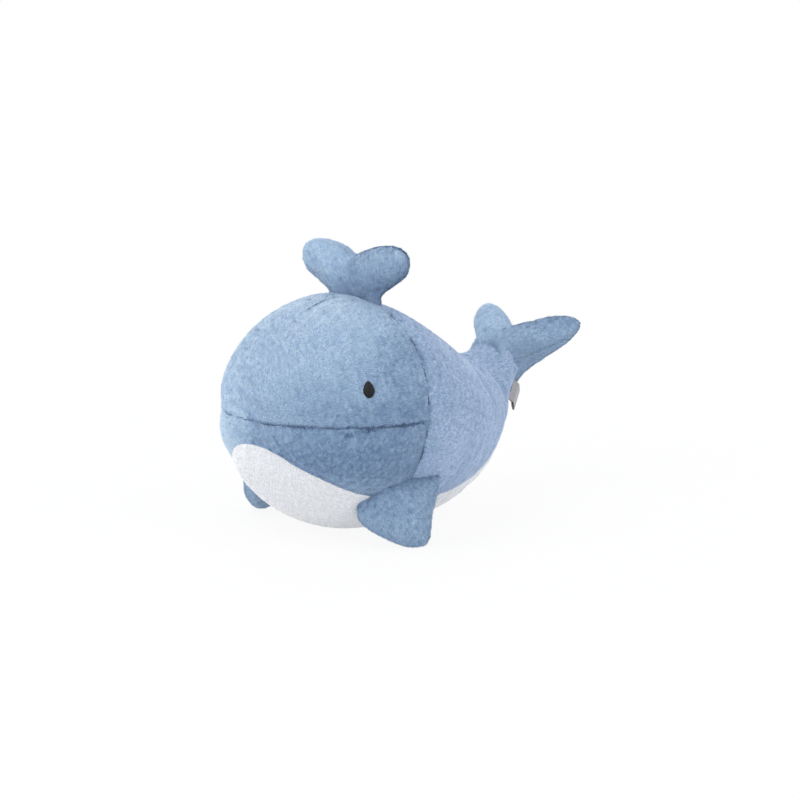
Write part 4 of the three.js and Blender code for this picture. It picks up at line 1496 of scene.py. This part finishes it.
def jaw_tone(points):
    """Painted light and shade: pale under the nose and on the whale's right, where the light falls, deepest
    below the eye, in shade, and painted paler towards the belly.
    """
    turn, rise = head_places(points)
    # painted light on the whale's right and towards the belly, painted shade below the eye
    return 0.34 + 0.45 * stroked_and_lit(turn) - 0.2 * bell(turn - 50, 32) + 0.36 * smoothstep(-rise, 0.3, 0.55)


def rear_tone(points):
    """Deepest behind the girth, halfway up."""
    off = (points - GIRTH) / HEAD_SIZE
    return 0.52 - 0.12 * bell(off[:, 1] - 0.1, 0.45) * bell(off[:, 2] - 0.3, 0.5)


def belly_tone(points):
    """The same tone all over."""
    return 0.55 + 0 * points[:, 0]


print("at the eye the tone is", head_tone(eye_place[None, :]).round(2))

# %% [markdown]
# With nap and tone at hand, the five panels are dressed. The pile leaves the eyes free, and parts where the
# spout, the fins and the flukes are sewn in.

# %% The five panels of the body
# BODY_SHADE is painted shade on the body's pile round the spout, the fins and the flukes, where they are sewn
# in
BODY_COVER, BODY_SHADE = 1.5 * MM, 0.85  # of the seams round the spout, the fins and the flukes
body_looks = {
    "head_plush": (head_nap, head_tone, BLUE_PLUSH, "head_panel"),
    "jaw_plush": (jaw_nap, jaw_tone, BLUE_PLUSH, "jaw_panel"),
    "left_side_plush": (rear_nap, rear_tone, REAR_PLUSH, "left_side_panel"),
    "right_side_plush": (rear_nap, rear_tone, REAR_PLUSH, "right_side_panel"),
    "belly_plush": (rear_nap, belly_tone, WHITE_PLUSH, "belly_panel"),
}
sewn_on = [pillow.out for pillow in pillows.values()]
for name, (nap, tone, plush, node) in body_looks.items():
    panel, skin = body_panels[name]
    gap, dark = seam_facts(skin, body_seams.values(), sewn_on, BODY_COVER, BODY_SHADE)
    gap = np.minimum(gap, EYE_PARTING * eye_gap(skin))
    dress(panel, skin, gap, dark, nap, tone, plush, node, on_body)

# %% [markdown]
# ## Seam threads
#
# Where the pile parts over the mouth, the girth and the forehead's dart, a dark thread shows in short
# stitches. A stitch is thick in its middle and dips into the cloth at both ends, so the thread is one tube
# along the seam whose radius swells and narrows with every stitch. It is laid on the blown form, and it rises
# and sinks a little, so the pile around it covers some stitches and frees others.

# %% Thread along a seam
THREAD_RADIUS, STITCH, THREAD_STEP = 0.55 * MM, 4.2 * MM, 0.42 * MM
THREAD_SWING, SWING_SIZE = 0.5 * MM, 20 * MM


def along_line(line, step):
    """Points at even steps along an open line, with their distances from its start."""
    length = reach_along(line)[-1]
    steps = np.linspace(0, length, max(2, int(length / step)))
    return points_at(line, steps), steps


def laid_line(line, form):
    """A line's points laid on a form."""
    mesh = bpy.data.meshes.new("line")
    mesh.from_pydata(line.tolist(), [(k, k + 1) for k in range(len(line) - 1)], [])
    guide = modified(linked("line", mesh), "SHRINKWRAP", target=form)
    points = read_points(guide.data)
    bpy.data.objects.remove(guide)
    return points


def thread_grid(path, steps, rise, strength):
    """A tube along a path, lifted by rise and a few waves: rings of radius times the root of the sine of the
    place within a stitch. It thins out with the strength of its seam."""
    ahead = unit(np.gradient(path, axis=0))
    outward = unit(path - GIRTH)
    side = unit(np.cross(ahead, outward))
    outward = np.cross(side, ahead)
    path = path + (rise + THREAD_SWING * waves(path, SWING_SIZE, seed=9))[:, None] * outward
    radius = THREAD_RADIUS * strength * (0.25 + 0.75 * np.sqrt(np.abs(np.sin(math.pi * steps / STITCH))))
    radius[[0, -1]] = 0
    turn = np.linspace(0, 2 * math.pi, 8, endpoint=False)
    ring = np.cos(turn)[None, :, None] * side[:, None] + np.sin(turn)[None, :, None] * outward[:, None]
    return path[:, None] + radius[:, None, None] * ring


print("a stitch takes", round(STITCH / THREAD_STEP), "steps")

# %% [markdown]
# The thread itself is twisted, which fine slanting bands show. It is darker than the pile, and is only seen
# in short stretches.


# %% Seam threads
def thread_material():
    """Twisted sewing thread: fine slanting bands, paler on their crests as a painted highlight."""
    material, tree = blank_material("seam_thread")
    place = tree.node("TexCoord", output="Object")
    slanting = {"bands_direction": "DIAGONAL"}
    twist = tree.node("TexWave", slanting, {"Vector": place, "Scale": 900.0}, output="Fac")
    dark, pale = linear(56, 72, 100), linear(84, 104, 136)
    close_two_tone(tree, twist, dark, pale, {"Roughness": 0.7}, (twist, 0.4, 0.1 * MM))
    return material


THREAD_RISE = {"mouth": 0.05 * MM, "girth": -0.3 * MM, "dart": -0.25 * MM}  # over the ground cloth
seam_thread = thread_material()
for name, rise in THREAD_RISE.items():
    line, pull = body_seams[name]
    path, steps = along_line(line, THREAD_STEP)
    strength = np.interp(np.linspace(0, 1, len(steps)), np.linspace(0, 1, len(pull)), pull / pull.max())
    grid = thread_grid(laid_line(path, body_form), steps, rise, strength)
    thread = grid_piece(f"{name}_thread", grid, wrap=True, closed=True)
    cover(thread, seam_thread)
    on_body(thread)
    print(thread.name, round(float(steps[-1]) / MM), "mm long")

# %% [markdown]
# ## Filling
#
# Under the cloth is fibre filling. It follows the blown form a little further in, so that no light passes
# where two panels meet, and its surface is a tangle of crimped fibre.

# %% Filling
FILL_DEPTH = 1.6 * MM


def fibre_material():
    """Loose white fibre: fine tangled noise over soft lumps, with a bump of both."""
    material, tree = blank_material("fibre_fill")
    place = tree.node("TexCoord", output="Object")
    tangled = {"Vector": place, "Scale": 420.0, "Detail": 5.0, "Distortion": 2.5}
    strands = tree.node("TexNoise", inputs=tangled)
    lumps = tree.node("TexNoise", inputs={"Vector": place, "Scale": 45.0, "Detail": 2.0})
    height = 0.7 * strands + 0.3 * lumps
    dark, pale = linear(196, 196, 192), linear(244, 244, 240)
    close_two_tone(tree, height, dark, pale, {"Roughness": 0.95}, (height, 0.6, 0.8 * MM))
    return material


fibre_fill = fibre_material()


def fill(form, name, node, tie, shrunk=None):
    """Turns a blown form into the filling of its part, set in a little under the cloth, or shrunk to given
    points."""
    form.name = name
    points, normals = read_points(form.data), read_points(form.data, "normal")
    write_points(form.data, points - normals * FILL_DEPTH if shrunk is None else shrunk)
    cover(form, fibre_fill)
    tie(form)
    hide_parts(node)
    print(name, len(form.data.polygons), "faces")


fill(body_form, "body_filling", "body_stuffing", on_body)

# %% [markdown]
# ## Eyes
#
# A safety eye is moulded in one: a domed button in front and a shank that goes through the cloth, held by a
# washer inside. The dome is a grid of rings: each ring is the eye's outline drawn in, and the rings climb as
# a quarter circle does. The outline's own shape narrows to the top.

# %% Eyes
EYE_RINGS, EYE_STEPS = 22, 56
EYE_RIM = 0.7 * MM
SHANK_RADIUS, SHANK_DEPTH = 1.6 * MM, 6.4 * MM


def eye_grid():
    """Rows from the dome's top to its rim, round the back and down the shank. On the dome, the outline is
    scaled by the sine of the climb and the height is its cosine; the rim rolls under; the shank is a pin."""
    turn = np.linspace(0, 2 * math.pi, EYE_STEPS, endpoint=False)
    outline = np.stack([eye_width(np.sin(turn)) * np.cos(turn), EYE_HALF_HEIGHT * np.sin(turn)], axis=-1)
    climb = np.linspace(0, math.pi / 2, EYE_RINGS)
    roll = np.linspace(0.2, 1, 5) * math.pi / 2
    pin = np.stack([np.cos(turn), np.sin(turn)], axis=-1) * SHANK_RADIUS
    dome = [np.sin(c) * outline for c in climb]
    rim = [(1 - EYE_RIM / EYE_HALF_WIDTH * (1 - np.cos(r))) * outline for r in roll]
    heights = [EYE_DOME * math.cos(c) for c in climb] + [-EYE_RIM * math.sin(r) for r in roll]
    heights += [-EYE_RIM, -SHANK_DEPTH, -SHANK_DEPTH]
    flat, height = np.array([*dome, *rim, pin, pin, 0 * pin]), np.array(heights)[:, None, None] - EYE_SINK
    return eye_place + flat[..., :1] * eye_across + flat[..., 1:] * eye_up + height * eye_out


def eye_material():
    """Satin near-black plastic: fine moulding grain, and a dulled bloom that comes and goes."""
    material, tree = blank_material("eye_plastic")
    place = tree.node("TexCoord", output="Object")
    bloom = tree.node("TexNoise", inputs={"Vector": place, "Scale": 260.0, "Detail": 4.0})
    grain = tree.node("TexNoise", inputs={"Vector": place, "Scale": 2600.0, "Detail": 2.0})
    dark, pale = linear(12, 12, 14), linear(24, 24, 28)
    surface = {"Roughness": 0.45 + 0.2 * bloom, "Specular IOR Level": 0.25}
    close_two_tone(tree, bloom, dark, pale, surface, (grain, 0.15, 0.1 * MM))
    return material


eye_plastic = eye_material()
for side, flip in (("left", 1), ("right", MIRROR)):
    eye = grid_piece(f"{side}_eye_button", eye_grid() * flip, wrap=True, closed=True)
    cover(eye, eye_plastic)
    on_body(eye)
    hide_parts(f"{side}_eye")
    print(eye.name, len(eye.data.polygons), "faces")

# %% [markdown]
# ## Sewing the pillows
#
# Each pillow is blown up, its two faces are laid and grow their pile, and it is filled. On the spout and the
# flukes the pile runs outwards along each lobe, on a fin from the root to the tip.

# %% Sewing
NAP_TURN = 9 * MM  # half the width over which the nap turns from one lobe to the other
# PILLOW_SHADE is painted shade on a pillow's pile round its root, where it is sewn into the body
PILLOW_COVER, PILLOW_SHADE = 4.5 * MM, 0.2  # of the seam round a pillow's root


def sew_pillow(name, pillow, nodes, nap, tone, tie):
    """Blows a pillow up, lays its two faces, grows their pile and fills it. nodes are its CAD nodes: two
    panels and the stuffing."""
    seams = pillow.seams()
    form = stuffed_form(f"{name}_form", pillow.skin(), seams, PILLOW_VOXEL, PILLOW_DEPTH)
    middle = pillow.place(pillow.middle, np.zeros(()))
    for side, node in zip((1, -1), nodes[:2]):
        panel_name = node.replace("panel", "plush")
        panel, skin = laid_panel(panel_name, pillow.face(side), form, middle, wrap=True)
        gap, dark = seam_facts(skin, seams, [above_body], PILLOW_COVER, PILLOW_SHADE)
        dress(panel, skin, gap, dark, nap, tone, BLUE_PLUSH, node, tie)
    fill(form, f"{name}_filling", nodes[2], tie, pillow.shrunk(read_points(form.data)))


def lobe_nap(pillow):
    """Outwards along each of two lobes: across by a soft step at the middle, and up."""

    def nap(points):
        local = pillow.local(points)
        flow = np.stack([np.tanh(local[:, 0] / NAP_TURN), 0.8 + 0 * local[:, 0], 0 * local[:, 0]], axis=-1)
        return flow @ pillow.axes

    return nap


def lobe_tone(pillow, level, tilt):
    """Painted light and shade: a tone that falls from the whale's right, on the side of the light, to its
    left by twice the tilt.
    """
    width = np.abs(pillow.rim[:, 0]).max()
    return lambda points: level - tilt * pillow.local(points)[:, 0] / width


def across_joint():
    """Returns a function that bakes a piece's place into its mesh."""
    return lambda piece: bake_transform(piece)


def fin_nap(pillow):
    """From a fin's root to its tip, and a little backwards."""
    return lambda points: pillow.axes[1] - 0.3 * pillow.axes[0] + 0 * points


print("pillows to sew:", *pillows)

# %% [markdown]
# One table tells the four apart: the name of its body in the frame, the ends of its CAD nodes' names, its
# nap, its tone with the fall of painted light across it, and a stretch in millimetres near its root.

# %% Spout, fins and flukes in plush
PILLOW_LOOKS = {
    "spout": ("spout", ("front_panel", "back_panel", "stuffing"), lobe_nap, (0.54, 0.075), (0, 15)),
    "left_fin": ("left_fin", ("outer_panel", "inner_panel", "stuffing"), fin_nap, (0.35, 0), (0, 14)),
    # the right fin's tone is paler than the left's by painted light
    "right_fin": ("right_fin", ("outer_panel", "inner_panel", "stuffing"), fin_nap, (0.42, 0), (0, 14)),
    "fluke": ("flukes", ("upper_panel", "lower_panel", "stuffing"), lobe_nap, (0.52, 0.12), (6, 26)),
}
for name, (body, parts, nap, tones, bend_mm) in PILLOW_LOOKS.items():
    pillow = pillows[name]
    nodes = [f"{name}_{part}" for part in parts]
    sew_pillow(name, pillow, nodes, nap(pillow), lobe_tone(pillow, *tones), across_joint())

# %% [markdown]
# ## Label
#
# A short grey ribbon is caught in the belly seam near the tail, folded once, with nothing on it. It stands
# out from the skin at a small angle, so it needs a place on the body, a way out, a way along and a face.

# %% Label's place
LABEL_ALONG, LABEL_ANGLE, LABEL_LIFT = 0.86, math.radians(47.7), math.radians(14)
LABEL_WIDTH, LABEL_LENGTH, LABEL_PLY = 17 * MM, 20 * MM, 0.5 * MM

label_place = body_point(1 + LABEL_ALONG, LABEL_ANGLE)
label_along = unit(body_point(1.01 + LABEL_ALONG, LABEL_ANGLE) - label_place)
label_round = unit(body_point(1 + LABEL_ALONG, LABEL_ANGLE - 0.01) - label_place)
label_normal = unit(np.cross(label_round, label_along))
label_cross = np.cross(label_along, label_round)
label_out = label_round * math.cos(LABEL_LIFT) - label_cross * math.sin(LABEL_LIFT)
label_face = np.cross(label_along, label_out)
label_root = label_place + label_normal * (LABEL_PLY + 2 * SEAM_GAP)
print("label at", label_root.round(4))

# %% [markdown]
# A ribbon keeps its length, so it is made directly: a path that goes out, turns round the fold and comes
# back, carried across the ribbon's width.

# %% Ribbon
FOLD_RADIUS = LABEL_PLY / 2 + SEAM_GAP
LABEL_BELLY = 0.5 * MM  # how far the two plies stand apart beyond the fold's width
ROOT_SUNK, ROOT_CURVE = 3.4 * MM, 6 * MM  # the ribbon dips to the seam under the pile

straight_share = np.linspace(0, 1, 24)
fold_start = LABEL_LENGTH - LABEL_PLY - SEAM_GAP
bulge = FOLD_RADIUS + LABEL_BELLY * np.sin(math.pi * straight_share)
fold_angle = np.linspace(-math.pi / 2, math.pi / 2, 14)[1:-1]
ribbon_path = np.vstack(
    [
        np.stack([straight_share * fold_start, -bulge], axis=-1),
        np.stack([fold_start + FOLD_RADIUS * np.cos(fold_angle), FOLD_RADIUS * np.sin(fold_angle)], axis=-1),
        np.stack([straight_share[::-1] * fold_start, bulge], axis=-1),
    ]
)
ribbon_across = np.linspace(-0.5, 0.5, 22) * LABEL_WIDTH
path_reach = reach_along(ribbon_path)
dip = ROOT_SUNK * (1 - smoothstep(ribbon_path[:, :1, None], 0, ROOT_CURVE))
ribbon_grid = (
    label_root
    + ribbon_path[:, None, :1] * label_out
    + ribbon_path[:, None, 1:] * label_face
    + ribbon_across[None, :, None] * label_along
    - label_normal * dip
)
label = grid_piece("label_ribbon", ribbon_grid)
print("label ribbon", round(LABEL_WIDTH / MM, 1), "by", round(float(path_reach[-1]) / MM, 1), "mm flat")

# %% [markdown]
# The weave follows the ribbon round the fold, so it has a map of its own, in millimetres of cloth: bands
# along the map for the warp and across it for the weft.

# %% Weave
flat_map = np.stack(np.broadcast_arrays(ribbon_across[None, :], path_reach[:, None]), axis=-1)
flat_map = flat_map.reshape(-1, 2) / MM
layer = label.data.uv_layers.new(name="weave")
corner_points = np.empty(len(label.data.loops), np.int32)
label.data.loops.foreach_get("vertex_index", corner_points)
layer.uv.foreach_set("vector", flat_map[corner_points].astype(np.float32).ravel())
modified(label, "SOLIDIFY", thickness=LABEL_PLY, offset=0)

ribbon_weave, tree = blank_material("ribbon_weave")
place = tree.node("UVMap", {"uv_map": "weave"})
warp = tree.node("TexWave", {"bands_direction": "X"}, {"Vector": place, "Scale": 1.4}, output="Fac")
weft = tree.node("TexWave", {"bands_direction": "Y"}, {"Vector": place, "Scale": 1.0}, output="Fac")
threads = 0.5 * warp + 0.5 * weft
dark_grey, pale_grey = linear(140, 140, 143), linear(182, 182, 185)
surface = {"Roughness": 0.62, "Sheen Weight": 0.2}
close_two_tone(tree, threads, dark_grey, pale_grey, surface, (threads, 0.35, 0.15 * MM))
label.data.materials.append(ribbon_weave)
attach(label, "label_tab")
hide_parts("label")
print("label woven, with", len(label.data.polygons), "faces")

# %% [markdown]
# ## Inside the toy
#
# A pouch of plastic pellets low in the body keeps the toy from rolling over, and a washer holds each eye.
# Nobody sees them, but a part that is taken apart should still have them. The pouch is a flat cushion whose
# cloth shows the pellets as small bumps, which fade out in the middle of both faces, where the grid is tight.

# %% Pellet pouch
PELLET = 4.5 * MM
PELLET_BUMP = 0.35 * MM
POUCH_FIT = 0.95  # of the bag's box in the frame
pouch_low, pouch_high = (np.array(corner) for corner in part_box("pellet_bag"))
pouch_middle, pouch_half = (pouch_low + pouch_high) / 2, (pouch_high - pouch_low) / 2 * POUCH_FIT

pouch_share = np.sin(np.linspace(0, math.pi / 2, 30))
pouch_turn = np.linspace(0, 2 * math.pi, 110, endpoint=False)
pouch_rise = np.sqrt(1 - pouch_share**3)
out_share = np.concatenate([pouch_share, pouch_share[-2::-1]])[:, None]
up_share = np.concatenate([pouch_rise, -pouch_rise[-2::-1]])[:, None]
left_share, back_share = out_share * np.cos(pouch_turn), out_share * np.sin(pouch_turn)
pouch_unit = np.stack(np.broadcast_arrays(left_share, back_share, up_share), axis=-1)
pouch_grid = pouch_middle + pouch_half * pouch_unit
pouch_bumps = PELLET_BUMP * waves(pouch_grid.reshape(-1, 3), PELLET, seed=11).reshape(pouch_grid.shape[:2])
pouch_grid = pouch_grid + pouch_bumps[..., None] * pouch_unit * (1 - np.abs(up_share[..., None]) ** 40)
pouch = grid_piece("pellet_pouch", pouch_grid, wrap=True, closed=True)
cover(pouch, knit_material("pouch_cloth", linear(196, 196, 196), 0.6 * MM))
on_body(pouch)
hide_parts("pellet_bag")
print("pouch", len(pouch.data.polygons), "faces")

# %% [markdown]
# A washer is as plain in the frame as on the bench, so its solid is kept and only gets a material: milky
# plastic, cloudy inside and a little duller here and there.

# %% Washers
washer_plastic, tree = blank_material("washer_plastic")
place = tree.node("TexCoord", output="Object")
cloud = tree.node("TexNoise", inputs={"Vector": place, "Scale": 500.0, "Detail": 3.0})
cloudy, clear = linear(206, 206, 203), linear(226, 226, 223)
close_two_tone(tree, cloud, cloudy, clear, {"Roughness": 0.35 + 0.15 * cloud})
for side in ("left", "right"):
    washer = frame["nodes"][f"{side}_eye_washer"]
    washer.data.materials.clear()
    washer.data.materials.append(washer_plastic)
print("washers:", washer_plastic.name)
